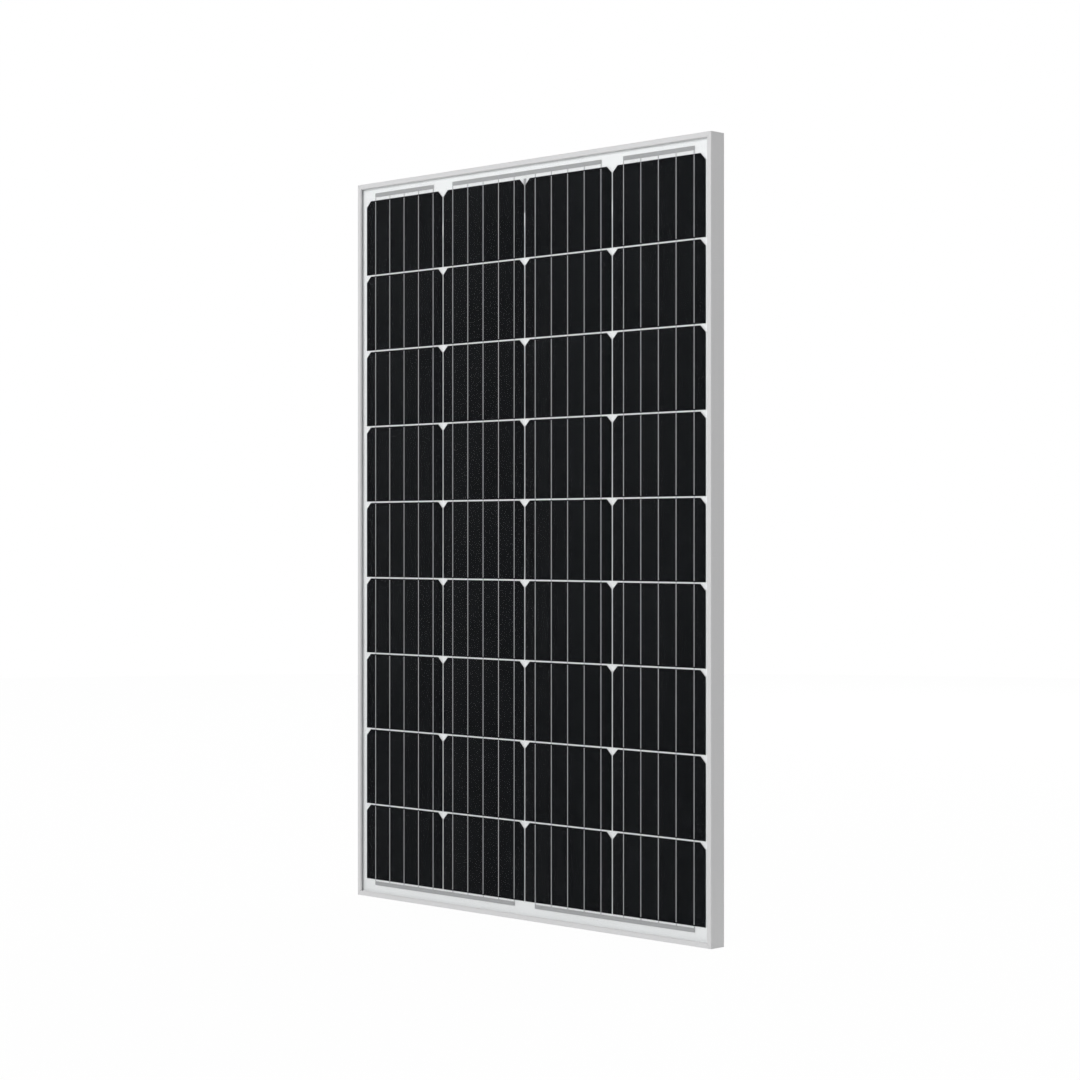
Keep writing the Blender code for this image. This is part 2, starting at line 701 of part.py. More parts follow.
def make_box_base(plastic, silicone):
    half, middle_z = BOX_WIDTH / 2, (BOX_TOP + BOX_BOTTOM) / 2
    bead = [(ADHESIVE_INSET, BACKSHEET_BACK + LAYER_GAP), (ADHESIVE_INSET, FLOOR_FRONT - LAYER_GAP)]
    bead += [(a + ADHESIVE_WIDTH, y) for a, y in reversed(bead)]
    piece("box_adhesive", silicone, [ring(bead, half, BOX_HEIGHT / 2, middle_z)])

    shell = prism(rounded(-half, BOX_BOTTOM, half, BOX_TOP, BOX_CORNER), "Y", FLOOR_FRONT, RIM)
    inside = rounded(
        -half + BOX_WALL, BOX_BOTTOM + BOX_WALL, half - BOX_WALL, BOX_TOP - BOX_WALL, BOX_CORNER - BOX_WALL
    )
    hollow = prism(inside, "Y", FLOOR_BACK, RIM + OVERCUT)
    slot_half_x, slot_half_z = TERMINAL_SPACING + LEAD_WIDTH / 2 + FLOOR_SLOT_MARGIN, FLOOR_SLOT_WIDTH / 2
    floor_slot = block(
        (-slot_half_x, FLOOR_FRONT - OVERCUT, LEAD_HOLE_Z - slot_half_z),
        (slot_half_x, FLOOR_BACK + OVERCUT, LEAD_HOLE_Z + slot_half_z),
    )
    post_top = LEAD_HOLE_Z - slot_half_z - CLEARANCE
    posts = [
        block(
            (x - POST_HALF_WIDTH, FLOOR_BACK - BOX_FLOOR / 2, post_top - POST_LENGTH),
            (x + POST_HALF_WIDTH, POST_BACK, post_top),
        )
        for x in (-TERMINAL_SPACING, 0.0, TERMINAL_SPACING)
    ]
    lugs, lug_feet, spigots, ledges = [], [], [], []
    spigot_top = BOX_BOTTOM + SPIGOT_ROOT
    for _, side in SIDES:
        hinge_x = side * HINGE_SPACING / 2
        low, high = hinge_x - HINGE_LUG_WIDTH / 2, hinge_x + HINGE_LUG_WIDTH / 2
        foot_low = (low, HINGE_Y - HINGE_RADIUS, BOX_TOP - BOX_WALL / 2)
        lug_feet.append(block(foot_low, (high, HINGE_Y, HINGE_Z)))
        lugs.append(cylinder("X", HINGE_Y, HINGE_Z, HINGE_RADIUS, low, high))
        spigots.append(
            cylinder("Z", side * GLAND_SPACING / 2, GLAND_Y, SPIGOT_RADIUS, SPIGOT_END, spigot_top)
        )
        ledge_back = LID_UNDERSIDE - LID_SKIRT_REACH - LATCH_REACH - LID_CLEARANCE
        near, far = side * (half - BOX_WALL / 2), side * (half + LID_CLEARANCE + LID_SKIRT)
        ledges.append(
            block(
                (min(near, far), ledge_back - LEDGE_THICKNESS, middle_z - LATCH_WIDTH / 2),
                (max(near, far), ledge_back, middle_z + LATCH_WIDTH / 2),
            )
        )
    bore_low, bore_high = SPIGOT_END - OVERCUT, BOX_BOTTOM + BOX_WALL + OVERCUT
    bores = [
        cylinder("Z", side * GLAND_SPACING / 2, GLAND_Y, SPIGOT_BORE, bore_low, bore_high)
        for _, side in SIDES
    ]
    pin_holes = [
        cylinder(
            "X",
            HINGE_Y,
            HINGE_Z,
            HINGE_PIN_RADIUS + HINGE_PIN_FIT,
            side * HINGE_SPACING / 2 - HINGE_LUG_WIDTH,
            side * HINGE_SPACING / 2 + HINGE_LUG_WIDTH,
        )
        for _, side in SIDES
    ]
    screw_holes = [
        cylinder("Y", side * TERMINAL_SPACING, CLAMP_Z, SCREW_HOLE_RADIUS, FLOOR_BACK, POST_BACK + OVERCUT)
        for _, side in SIDES
    ]
    steps = [
        (CUT, [hollow]),
        (CUT, [floor_slot]),
        (JOIN, posts),
        (JOIN, lug_feet),
        (JOIN, lugs),
        (JOIN, spigots + ledges),
        (CUT, bores + pin_holes + screw_holes),
    ]
    piece("junction_box_base", plastic, [shell], steps)


def make_lid(plastic, rubber, steel):
    half = BOX_WIDTH / 2 + LID_CLEARANCE
    bottom, middle_z = BOX_BOTTOM - LID_CLEARANCE, (BOX_TOP + BOX_BOTTOM) / 2
    outer = rounded(-half - LID_SKIRT, bottom - LID_SKIRT, half + LID_SKIRT, BOX_TOP, BOX_CORNER + LID_SKIRT)
    skirt_edge = LID_UNDERSIDE - LID_SKIRT_REACH
    inner = rounded(-half, bottom, half, BOX_TOP + 2 * BOX_CORNER, BOX_CORNER)
    tongues, arms, knuckles, bores = [], [], [], []
    for _, side in SIDES:
        near, far = side * half, side * (half + LID_SKIRT)
        tongues.append(
            block(
                (min(near, far), skirt_edge - LATCH_REACH, middle_z - LATCH_WIDTH / 2),
                (max(near, far), skirt_edge + OVERCUT, middle_z + LATCH_WIDTH / 2),
            )
        )
        for beside in (-1, 1):
            centre = side * HINGE_SPACING / 2 + beside * (
                HINGE_LUG_WIDTH / 2 + HINGE_SIDE_GAP + HINGE_ARM_WIDTH / 2
            )
            low, high = centre - HINGE_ARM_WIDTH / 2, centre + HINGE_ARM_WIDTH / 2
            arms.append(block((low, LID_UNDERSIDE, BOX_TOP - 2 * BOX_WALL), (high, BOX_BACK, HINGE_Z)))
            knuckles.append(cylinder("X", HINGE_Y, HINGE_Z, HINGE_RADIUS, low, high))
            bore = HINGE_PIN_RADIUS + HINGE_PIN_FIT
            bores.append(cylinder("X", HINGE_Y, HINGE_Z, bore, low - OVERCUT / 4, high + OVERCUT / 4))
    arches = [
        cylinder(
            "Z",
            side * GLAND_SPACING / 2,
            GLAND_Y,
            SPIGOT_RADIUS + LID_CLEARANCE,
            bottom - LID_SKIRT - OVERCUT,
            bottom + OVERCUT,
        )
        for _, side in SIDES
    ]
    steps = [
        (CUT, [prism(inner, "Y", skirt_edge - OVERCUT, LID_UNDERSIDE)]),
        (JOIN, tongues),
        (JOIN, arms),
        (JOIN, knuckles),
        (CUT, arches + bores),
    ]
    lid_shape = prism(outer, "Y", skirt_edge, BOX_BACK)
    piece("junction_box_lid", plastic, [lid_shape], steps, origin=(0.0, HINGE_Y, HINGE_Z))

    outer_inset = (BOX_WALL - SEAL_WIDTH) / 2
    outline, opening = (
        rounded(
            -BOX_WIDTH / 2 + inset,
            BOX_BOTTOM + inset,
            BOX_WIDTH / 2 - inset,
            BOX_TOP - inset,
            BOX_CORNER - inset,
        )
        for inset in (outer_inset, outer_inset + SEAL_WIDTH)
    )
    gasket = prism(outline, "Y", RIM + SEAL_GAP, LID_UNDERSIDE - SEAL_GAP)
    hole = prism(opening, "Y", RIM, LID_UNDERSIDE)
    piece("lid_seal", rubber, [gasket], [(CUT, [hole])])

    reach = HINGE_LUG_WIDTH / 2 + HINGE_SIDE_GAP + HINGE_ARM_WIDTH
    for name, side in SIDES:
        x = side * HINGE_SPACING / 2
        pin = cylinder("X", HINGE_Y, HINGE_Z, HINGE_PIN_RADIUS, x - reach, x + reach)
        piece(f"hinge_pin_{name}", steel, [pin], smooth=True)


def make_terminals(tinned_copper, black_epoxy, steel):
    low, high = TERMINAL_TOP - TERMINAL_LENGTH, TERMINAL_TOP
    section = [
        (TERMINAL_FRONT, low),
        (TERMINAL_BACK, low),
        (TERMINAL_BACK, high - TERMINAL_THICKNESS),
        (TERMINAL_FRONT + TERMINAL_LUG, high - TERMINAL_THICKNESS),
        (TERMINAL_FRONT + TERMINAL_LUG, high),
        (TERMINAL_FRONT, high),
    ]
    for name, place in (("left", -1), ("middle", 0), ("right", 1)):
        x = place * TERMINAL_SPACING
        strip = prism(section, "X", x - TERMINAL_WIDTH / 2, x + TERMINAL_WIDTH / 2)
        hole = cylinder(
            "Y", x, CLAMP_Z, SCREW_HOLE_RADIUS, TERMINAL_FRONT - OVERCUT, TERMINAL_BACK + OVERCUT
        )
        piece(f"terminal_{name}", tinned_copper, [strip], [(CUT, [hole])] if place else [])

    wire_reach = (TERMINAL_SPACING - TERMINAL_WIDTH) / 2 + DIODE_WIRE_OVERLAP
    for name, side in SIDES:
        x = side * TERMINAL_SPACING / 2
        ends = (x - wire_reach, x - DIODE_LENGTH / 2, x + DIODE_LENGTH / 2, x + wire_reach)
        radii = (DIODE_WIRE_RADIUS, DIODE_RADIUS)
        profile = [(radii[0], ends[0]), (radii[0], ends[1]), (radii[1], ends[1])]
        profile += [(radii[1], ends[2]), (radii[0], ends[2]), (radii[0], ends[3])]
        diode = turned("X", DIODE_Y, DIODE_Z, profile, closed=False)
        piece(f"bypass_diode_{name}", black_epoxy, [diode], smooth=True)

    for name, side in SIDES:
        x, half = side * TERMINAL_SPACING, CLAMP_SIDE / 2
        origin = (x, CLAMP_FRONT, CLAMP_Z)
        outline = rounded(x - half, CLAMP_Z - half, x + half, CLAMP_Z + half, half / 4)
        plate = prism(outline, "Y", CLAMP_FRONT, CLAMP_BACK)
        hole = cylinder("Y", x, CLAMP_Z, SCREW_HOLE_RADIUS, CLAMP_FRONT - OVERCUT, CLAMP_BACK + OVERCUT)
        piece(f"cable_clamp_{name}", steel, [plate], [(CUT, [hole])], origin=origin)

        head_back = SCREW_HEAD_FRONT + SCREW_HEAD_HEIGHT
        profile = [(SCREW_RADIUS, FLOOR_BACK + SCREW_END_GAP), (SCREW_RADIUS, SCREW_HEAD_FRONT)]
        profile += [(SCREW_HEAD_RADIUS, SCREW_HEAD_FRONT), (SCREW_HEAD_RADIUS, head_back)]
        screw = turned("Y", x, CLAMP_Z, profile, closed=False)
        drive = block(
            (x - SCREW_HEAD_RADIUS - OVERCUT, head_back - SCREW_DRIVE_DEPTH, CLAMP_Z - SCREW_DRIVE_WIDTH / 2),
            (x + SCREW_HEAD_RADIUS + OVERCUT, head_back + OVERCUT, CLAMP_Z + SCREW_DRIVE_WIDTH / 2),
        )
        piece(f"clamp_screw_{name}", steel, [screw], [(CUT, [drive])], origin=origin, smooth=True)


def make_glands(plastic, rubber):
    for name, side in SIDES:
        x = side * GLAND_SPACING / 2
        seal_top = BOX_BOTTOM + BOX_WALL
        seal = [(GLAND_SEAL_BORE, SPIGOT_END), (GLAND_SEAL_RADIUS, SPIGOT_END)]
        seal += [(GLAND_SEAL_RADIUS, seal_top), (GLAND_SEAL_BORE, seal_top)]
        piece(f"gland_seal_{name}", rubber, [turned("Z", x, GLAND_Y, seal)], smooth=True)

        clamp = [(RING_BORE, RING_BOTTOM), (RING_RADIUS, RING_BOTTOM)]
        clamp += [(RING_RADIUS, RING_TOP), (RING_BORE, RING_TOP)]
        origin = (x, GLAND_Y, RING_BOTTOM)
        piece(f"clamping_ring_{name}", plastic, [turned("Z", x, GLAND_Y, clamp)], origin=origin, smooth=True)

        nut = prism(fluted(x, GLAND_Y, NUT_RADIUS, NUT_FLUTE_DEPTH, NUT_FLUTES), "Z", NUT_BOTTOM, NUT_TOP)
        bore = cylinder("Z", x, GLAND_Y, NUT_BORE, NUT_FLOOR, NUT_TOP + OVERCUT)
        hole = cylinder("Z", x, GLAND_Y, NUT_HOLE, NUT_BOTTOM - OVERCUT, NUT_FLOOR + OVERCUT)
        piece(f"gland_nut_{name}", plastic, [nut], [(CUT, [bore]), (CUT, [hole])], origin=origin)


def main():
    clear_scene()
    aluminium = finish("anodised_aluminium", (0.68, 0.68, 0.69), 0.42, 1.0)
    cast_key = finish("key_aluminium", (0.50, 0.50, 0.52), 0.55, 1.0)
    glass = finish("solar_glass", (0.95, 0.97, 0.97), 0.08, alpha=0.15)
    encapsulant = finish("encapsulant", (0.93, 0.94, 0.95), 0.30, alpha=0.20)
    silicon = finish("silicon_cell", (0.012, 0.013, 0.015), 0.30)
    tinned_copper = finish("tinned_copper", (0.55, 0.55, 0.55), 0.40, 1.0)
    white_sheet = finish("white_backsheet", (0.86, 0.86, 0.86), 0.60)
    insulation = finish("insulation_film", (0.82, 0.83, 0.84), 0.50)
    silicone = finish("grey_silicone", (0.45, 0.45, 0.45), 0.60)
    plastic = finish("black_plastic", (0.02, 0.02, 0.022), 0.50)
    rubber = finish("black_rubber", (0.025, 0.025, 0.025), 0.80)
    steel = finish("plated_steel", (0.60, 0.60, 0.58), 0.35, 1.0)
    epoxy = finish("black_epoxy", (0.02, 0.02, 0.02), 0.45)

    make_frame(aluminium)
    make_corner_keys(cast_key)
    make_sealant(silicone)
    make_laminate(glass, encapsulant, white_sheet)
    make_cell_strings(silicon)
    make_buses(tinned_copper)
    make_leads(tinned_copper, insulation)
    make_box_base(plastic, silicone)
    make_lid(plastic, rubber, steel)
    make_terminals(tinned_copper, epoxy, steel)
    make_glands(plastic, rubber)


main()
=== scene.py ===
"""A framed solar panel standing on a plain studio floor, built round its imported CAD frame.

The glass faces -Y, +Z runs up the long side and the junction box is on the back. New pieces are
surfaces worked out with numpy, each in the place and size of the CAD node that it stands for.
"""

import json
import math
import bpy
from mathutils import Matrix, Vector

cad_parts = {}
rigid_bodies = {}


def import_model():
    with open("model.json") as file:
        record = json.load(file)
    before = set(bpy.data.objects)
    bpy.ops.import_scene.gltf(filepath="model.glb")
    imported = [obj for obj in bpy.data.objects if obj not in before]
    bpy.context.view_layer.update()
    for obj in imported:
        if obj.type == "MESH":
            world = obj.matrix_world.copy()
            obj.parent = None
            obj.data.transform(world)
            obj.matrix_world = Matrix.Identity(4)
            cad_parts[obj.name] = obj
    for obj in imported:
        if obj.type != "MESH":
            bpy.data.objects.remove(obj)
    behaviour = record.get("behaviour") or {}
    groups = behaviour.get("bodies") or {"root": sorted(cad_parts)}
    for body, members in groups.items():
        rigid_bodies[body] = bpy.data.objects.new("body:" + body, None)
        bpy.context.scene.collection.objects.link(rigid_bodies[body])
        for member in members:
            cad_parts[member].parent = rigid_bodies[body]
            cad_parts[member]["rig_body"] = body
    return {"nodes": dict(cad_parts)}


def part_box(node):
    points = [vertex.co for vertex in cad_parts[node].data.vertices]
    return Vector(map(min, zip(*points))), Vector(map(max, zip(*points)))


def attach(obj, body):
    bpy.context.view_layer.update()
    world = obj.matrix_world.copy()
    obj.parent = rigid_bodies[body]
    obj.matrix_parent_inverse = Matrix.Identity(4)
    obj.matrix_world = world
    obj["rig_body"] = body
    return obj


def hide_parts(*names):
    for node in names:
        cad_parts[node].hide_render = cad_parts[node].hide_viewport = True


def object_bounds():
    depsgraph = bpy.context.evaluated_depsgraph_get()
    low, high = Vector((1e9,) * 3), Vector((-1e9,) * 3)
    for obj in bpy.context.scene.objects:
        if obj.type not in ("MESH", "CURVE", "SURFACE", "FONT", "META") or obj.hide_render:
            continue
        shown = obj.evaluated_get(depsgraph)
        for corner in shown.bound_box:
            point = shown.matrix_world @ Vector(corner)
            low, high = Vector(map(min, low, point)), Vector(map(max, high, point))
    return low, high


bl_info = {
    "name": "Solar Panel",
    "version": (1, 0, 0),
    "blender": (4, 5, 0),
    "location": "View3D > Sidebar > Solar Panel",
    "description": "Finishes and detail for a framed solar panel with a junction box",
    "category": "Object",
}

import bmesh
import bpy
import numpy as np
from mathutils import Vector

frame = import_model()
NODES = frame["nodes"]
CAD_BOX = [list(corner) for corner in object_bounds()]
MM = 0.001
SIDES = ("left", "right")
BUS_TO_CELLS = 10.15 * MM  # from the top of a string's ribbons down to its first cell
LID_FACE_TOP = 440 * MM  # where the lid's flat face ends, below its hinge
LEAD_HALF = 2.5 * MM


def sizes(node):
    """The lowest and highest corner of a CAD node, as two arrays."""
    low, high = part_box(node)
    return np.array(low), np.array(high)


class CellSizes(bpy.types.PropertyGroup):
    """The cells and the ribbons soldered to them."""

    columns: bpy.props.IntProperty(name="Columns", description="Strings side by side", default=4)
    rows: bpy.props.IntProperty(name="Rows", description="Cells in a string", default=9)
    width: bpy.props.FloatProperty(
        name="Cell width", description="Width of a cell", default=156.75 * MM, unit="LENGTH", precision=5
    )
    height: bpy.props.FloatProperty(
        name="Cell height", description="Height of a cell", default=104.5 * MM, unit="LENGTH", precision=5
    )
    gap: bpy.props.FloatProperty(
        name="Gap", description="Gap between cells", default=2 * MM, unit="LENGTH", precision=5
    )
    chamfer: bpy.props.FloatProperty(
        name="Chamfer", description="Cut at a cell's upper corners", default=8.5 * MM, unit="LENGTH"
    )
    ribbons: bpy.props.IntProperty(name="Ribbons", description="Ribbons on a cell", default=5)
    ribbon_pitch: bpy.props.FloatProperty(
        name="Ribbon pitch", description="Distance between ribbons", default=29.8 * MM, unit="LENGTH"
    )
    ribbon_width: bpy.props.FloatProperty(
        name="Ribbon width", description="Width of a ribbon", default=1.2 * MM, unit="LENGTH", precision=5
    )
    finger_pitch: bpy.props.FloatProperty(
        name="Finger pitch", description="Distance between printed fingers", default=1.8 * MM, unit="LENGTH"
    )
    silicon: bpy.props.FloatVectorProperty(
        name="Silicon", description="Colour of a cell", default=(0.0042, 0.0046, 0.0054), subtype="COLOR"
    )
    tinned: bpy.props.FloatVectorProperty(
        name="Tinned copper", description="Colour of the ribbons", default=(0.42, 0.42, 0.43), subtype="COLOR"
    )


class FrameSizes(bpy.types.PropertyGroup):
    """The frame, the glass and the sheet behind the cells."""

    aluminium: bpy.props.FloatVectorProperty(
        name="Aluminium", description="Colour of the anodising", default=(0.665, 0.665, 0.67), subtype="COLOR"
    )
    white: bpy.props.FloatVectorProperty(
        name="Backsheet", description="Colour of the rear sheet", default=(0.90, 0.90, 0.905), subtype="COLOR"
    )
    ridge_height: bpy.props.FloatProperty(
        name="Ridge height",
        description="How far a ribbon shows through the rear sheet",
        default=0.10 * MM,
        unit="LENGTH",
        precision=5,
    )


class BoxSizes(bpy.types.PropertyGroup):
    """The junction box and its cable glands."""

    plastic: bpy.props.FloatVectorProperty(
        name="Plastic", description="Colour of the box", default=(0.020, 0.020, 0.021), subtype="COLOR"
    )
    edge: bpy.props.FloatProperty(
        name="Edge", description="Rounding of moulded edges", default=0.22 * MM, unit="LENGTH", precision=5
    )
    rib_height: bpy.props.FloatProperty(
        name="Rib height", description="Height of the lid's ribs", default=0.50 * MM, unit="LENGTH", precision=5
    )
    flutes: bpy.props.IntProperty(name="Flutes", description="Grip flutes on a gland nut", default=12)


class StageSizes(bpy.types.PropertyGroup):
    """The studio."""

    backdrop: bpy.props.FloatVectorProperty(
        name="Backdrop", description="Colour of the background", default=(1.0, 1.0, 1.0), subtype="COLOR"
    )
    floor_light: bpy.props.FloatProperty(
        name="Floor light", description="Share of the floor that glows", default=0.985, subtype="FACTOR"
    )
    lens: bpy.props.FloatProperty(name="Lens", description="Focal length in millimetres", default=81.9)


# Surfaces: each shape is an array of points with a list of arrays of faces.


def tube_faces(rings, around):
    """Faces of a closed tube: quads from each ring to the next, and a flat face over each end.

    Point j of ring i is number i * around + j, and j wraps round.
    """
    i = np.arange(rings - 1)[:, None] * around
    j = np.arange(around)[None, :]
    after = (j + 1) % around
    quads = np.stack([i + j, i + after, i + around + after, i + around + j], -1).reshape(-1, 4)
    ends = np.stack([np.arange(around)[::-1], np.arange(around) + (rings - 1) * around])
    return [quads, ends]


def swept(profile, path, widths=None):
    """A profile carried along a path in a YZ plane.

    At each path point the profile's first number is added to x and its second is measured along
    the path's normal, which is its direction turned by a quarter turn. widths scales the first.
    """
    path = np.asarray(path, float)
    direction = np.gradient(path[:, 1:], axis=0)
    direction /= np.linalg.norm(direction, axis=1)[:, None]
    normal = np.stack([direction[:, 1], -direction[:, 0]], 1)
    widths = np.ones(len(path)) if widths is None else widths
    points = np.repeat(path[:, None], len(profile), 1)
    points[..., 0] += widths[:, None] * profile[None, :, 0]
    points[..., 1:] += normal[:, None] * profile[None, :, 1, None]
    return points.reshape(-1, 3), tube_faces(len(path), len(profile))


def superellipse(width, height, steps, power):
    """A closed outline: cosine and sine each raised to 2 / power, so a high power is a rounded box."""
    turn = np.linspace(0, 2 * math.pi, steps, endpoint=False) + math.pi / steps
    c, s = np.cos(turn), np.sin(turn)
    across = np.sign(c) * np.abs(c) ** (2 / power)
    return np.stack([across * width / 2, np.sign(s) * np.abs(s) ** (2 / power) * height / 2], 1)


def plate(outline, low, high, edge, steps=3):
    """An outline in XZ thickened along Y from low to high, its rim rounded by a quarter circle.

    Each ring is the outline pulled towards its middle by edge * (1 - sin t), at edge * (1 - cos t)
    in from the face, for t from 0 to a quarter turn.
    """
    t = np.linspace(0, math.pi / 2, steps)
    pull = edge * (1 - np.sin(t))
    level = np.concatenate([low + edge * (1 - np.cos(t)), high - edge * (1 - np.cos(t[::-1]))])
    pull = np.concatenate([pull, pull[::-1]])
    middle = (outline.max(0) + outline.min(0)) / 2
    half = (outline.max(0) - outline.min(0)) / 2
    scaled = middle + (outline - middle)[None] * (1 - pull[:, None, None] / half)
    points = np.empty((len(level), len(outline), 3))
    points[..., 0], points[..., 1], points[..., 2] = scaled[..., 0], level[:, None], scaled[..., 1]
    return points.reshape(-1, 3), tube_faces(len(level), len(outline))


def turned(axis, centre, profile, around=48, flutes=0, flute_depth=0.0, fluted=None):
    """A closed profile of (radius, place along the axis) turned about the line through centre.

    With flutes, a ring marked in fluted has its radius lowered by flute_depth times a smooth wave
    of the angle, (1 - cos(flutes * angle)) / 2 to the power 1.5.
    """
    profile = np.asarray(profile, float)
    turn = np.linspace(0, 2 * math.pi, around, endpoint=False)
    radius = np.repeat(profile[:, :1], around, 1)
    if flutes:
        wave = ((1 - np.cos(flutes * turn)) / 2) ** 1.5
        radius = radius - flute_depth * np.asarray(fluted, float)[:, None] * wave[None]
    along, first, second = {"X": (0, 1, 2), "Y": (1, 0, 2), "Z": (2, 0, 1)}[axis]
    points = np.empty((len(profile), around, 3))
    points[..., along] = profile[:, 1:]
    points[..., first] = centre[0] + radius * np.cos(turn)
    points[..., second] = centre[1] + radius * np.sin(turn)
    i = np.arange(len(profile))[:, None] * around
    j = np.arange(around)[None]
    after, below = (j + 1) % around, (i + around) % (len(profile) * around)
    quads = np.stack([i + j, i + after, below + after, below + j], -1).reshape(-1, 4)
    return points.reshape(-1, 3), [quads]


def rounded_profile(inner, outer, low, high, edge, steps=4):
    """A ring's section, going round: a rectangle of radius by height with its outer corners rounded."""
    t = np.linspace(0, math.pi / 2, steps)
    lower = np.stack([outer - edge + edge * np.sin(t), low + edge - edge * np.cos(t)], 1)
    upper = np.stack([outer - edge + edge * np.cos(t), high - edge + edge * np.sin(t)], 1)
    return np.concatenate([[[inner, low]], lower, upper, [[inner, high]]])


def repeated(shape, places):
    """The shape set down once at each place, by adding the place to its points."""
    points, faces = shape
    places = np.asarray(places, float)
    moved = (points[None] + places[:, None]).reshape(-1, 3)
    steps = np.arange(len(places))[:, None, None] * len(points)
    return moved, [(f[None] + steps).reshape(-1, f.shape[1]) for f in faces]


def piece(name, shapes, material, body, replaces=(), angle=40.0):
    """One object from several shapes, its faces turned outwards, riding on a body."""
    points, faces, count = [], [], 0
    for shape_points, shape_faces in shapes:
        points.append(shape_points)
        for group in shape_faces:
            faces += (group + count).tolist()
        count += len(shape_points)
    mesh = bpy.data.meshes.new(name)
    mesh.from_pydata(np.concatenate(points).tolist(), [], faces)
    work = bmesh.new()
    work.from_mesh(mesh)
    bmesh.ops.recalc_face_normals(work, faces=work.faces)
    work.to_mesh(mesh)
    work.free()
    return settle(name, mesh, material, body, replaces, angle)


def settle(name, mesh, material, body, replaces, angle=40.0):
    """Shades the mesh, gives it its material and puts it on its body."""
    mesh.shade_smooth()
    mesh.set_sharp_from_angle(angle=math.radians(angle))
    mesh.materials.clear()
    mesh.materials.append(material)
    made = bpy.data.objects.new(name, mesh)
    bpy.context.scene.collection.objects.link(made)
    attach(made, body)
    if replaces:
        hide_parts(*replaces)
    return made


def moulded(node, name, material, edge, segments=2, angle=32.0):
    """A merged copy of a CAD node with its sharp edges rounded, which stands for the node."""
    source = NODES[node]
    work = bmesh.new()
    work.from_mesh(source.data)
    bmesh.ops.remove_doubles(work, verts=work.verts, dist=2e-6)
    bmesh.ops.dissolve_degenerate(work, edges=work.edges, dist=1e-6)
    bmesh.ops.dissolve_limit(
        work, angle_limit=math.radians(0.6), verts=work.verts, edges=work.edges, use_dissolve_boundaries=False
    )
    bmesh.ops.recalc_face_normals(work, faces=work.faces)
    mesh = bpy.data.meshes.new(name)
    work.to_mesh(mesh)
    work.free()
    made = settle(name, mesh, material, source["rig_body"], (node,))
    bevel = made.modifiers.new("rounded_edges", "BEVEL")
    bevel.width, bevel.segments = edge, segments
    bevel.limit_method, bevel.angle_limit = "ANGLE", math.radians(angle)
    bevel.use_clamp_overlap, bevel.harden_normals = True, True
    return made


def finish_node(node, material):
    """Gives a CAD node its material."""
    shown = NODES[node]
    shown.data.materials.clear()
    shown.data.materials.append(material)


# Shader groups that several finishes share.


def make_group(name, inputs, outputs):
    """An empty shader group with the named inputs, as name: (type, default), and outputs."""
    group = bpy.data.node_groups.new(name, "ShaderNodeTree")
    for label, (kind, value) in inputs.items():
        socket = group.interface.new_socket(label, in_out="INPUT", socket_type="NodeSocket" + kind)
        if value is not None:
            socket.default_value = value
    for label, kind in outputs.items():
        group.interface.new_socket(label, in_out="OUTPUT", socket_type="NodeSocket" + kind)
    return group, Wiring(group)


class Wiring:
    """Short calls that add nodes to a tree and link them."""

    def __init__(self, tree):
        self.tree = tree

    def add(self, kind, inputs=None, **settings):
        """A new node with its settings. An input given a socket is linked, and any other is set."""
        node = self.tree.nodes.new("ShaderNode" + kind if not kind.startswith("Node") else kind)
        for key, value in settings.items():
            setattr(node, key, value)
        for key, value in (inputs or {}).items():
            if isinstance(value, bpy.types.NodeSocket):
                self.tree.links.new(value, node.inputs[key])
            else:
                node.inputs[key].default_value = value
        return node

    def maths(self, operation, first, second=0.0, third=0.0):
        return self.add("Math", {0: first, 1: second, 2: third}, operation=operation).outputs[0]

    def ramp(self, value, low, high, to_low=0.0, to_high=1.0):
        inputs = {"Value": value, "From Min": low, "From Max": high, "To Min": to_low, "To Max": to_high}
        return self.add("MapRange", inputs, clamp=True).outputs[0]

    def mix(self, factor, first, second, blend="MIX"):
        node = self.add("Mix", data_type="RGBA", blend_type=blend)
        for index, value in ((0, factor), (6, first), (7, second)):
            if isinstance(value, bpy.types.NodeSocket):
                self.tree.links.new(value, node.inputs[index])
            else:
                node.inputs[index].default_value = value
        return node.outputs[2]

    def noise(self, where, scale, detail=3.0, roughness=0.55):
        inputs = {"Vector": where, "Scale": scale, "Detail": detail, "Roughness": roughness}
        return self.add("TexNoise", inputs).outputs["Fac"]

    def stretched(self, where, scale):
        return self.add("Mapping", {"Vector": where, "Scale": scale}).outputs[0]


def rgba(colour, gain=1.0):
    return (*(min(1.0, channel * gain) for channel in colour), 1.0)


def grain_group():
    """Fine grain: a height and a tone from noise stretched by Stretch, and a broad slow mottle."""
    inputs = {
        "Vector": ("Vector", None),
        "Stretch": ("Vector", (1.0, 1.0, 1.0)),
        "Scale": ("Float", 900.0),
        "Mottle Scale": ("Float", 9.0),
    }
    group, w = make_group("fine_grain", inputs, {"Height": "Float", "Mottle": "Float"})
    given = w.add("NodeGroupInput")
    where = w.add("VectorMath", {0: given.outputs[0], 1: given.outputs[1]}, operation="MULTIPLY").outputs[0]
    fine = w.noise(where, given.outputs[2], 2.0)
    mottle = w.noise(given.outputs[0], given.outputs[3], 4.0)
    out = w.add("NodeGroupOutput")
    w.tree.links.new(fine, out.inputs[0])
    w.tree.links.new(mottle, out.inputs[1])
    return group


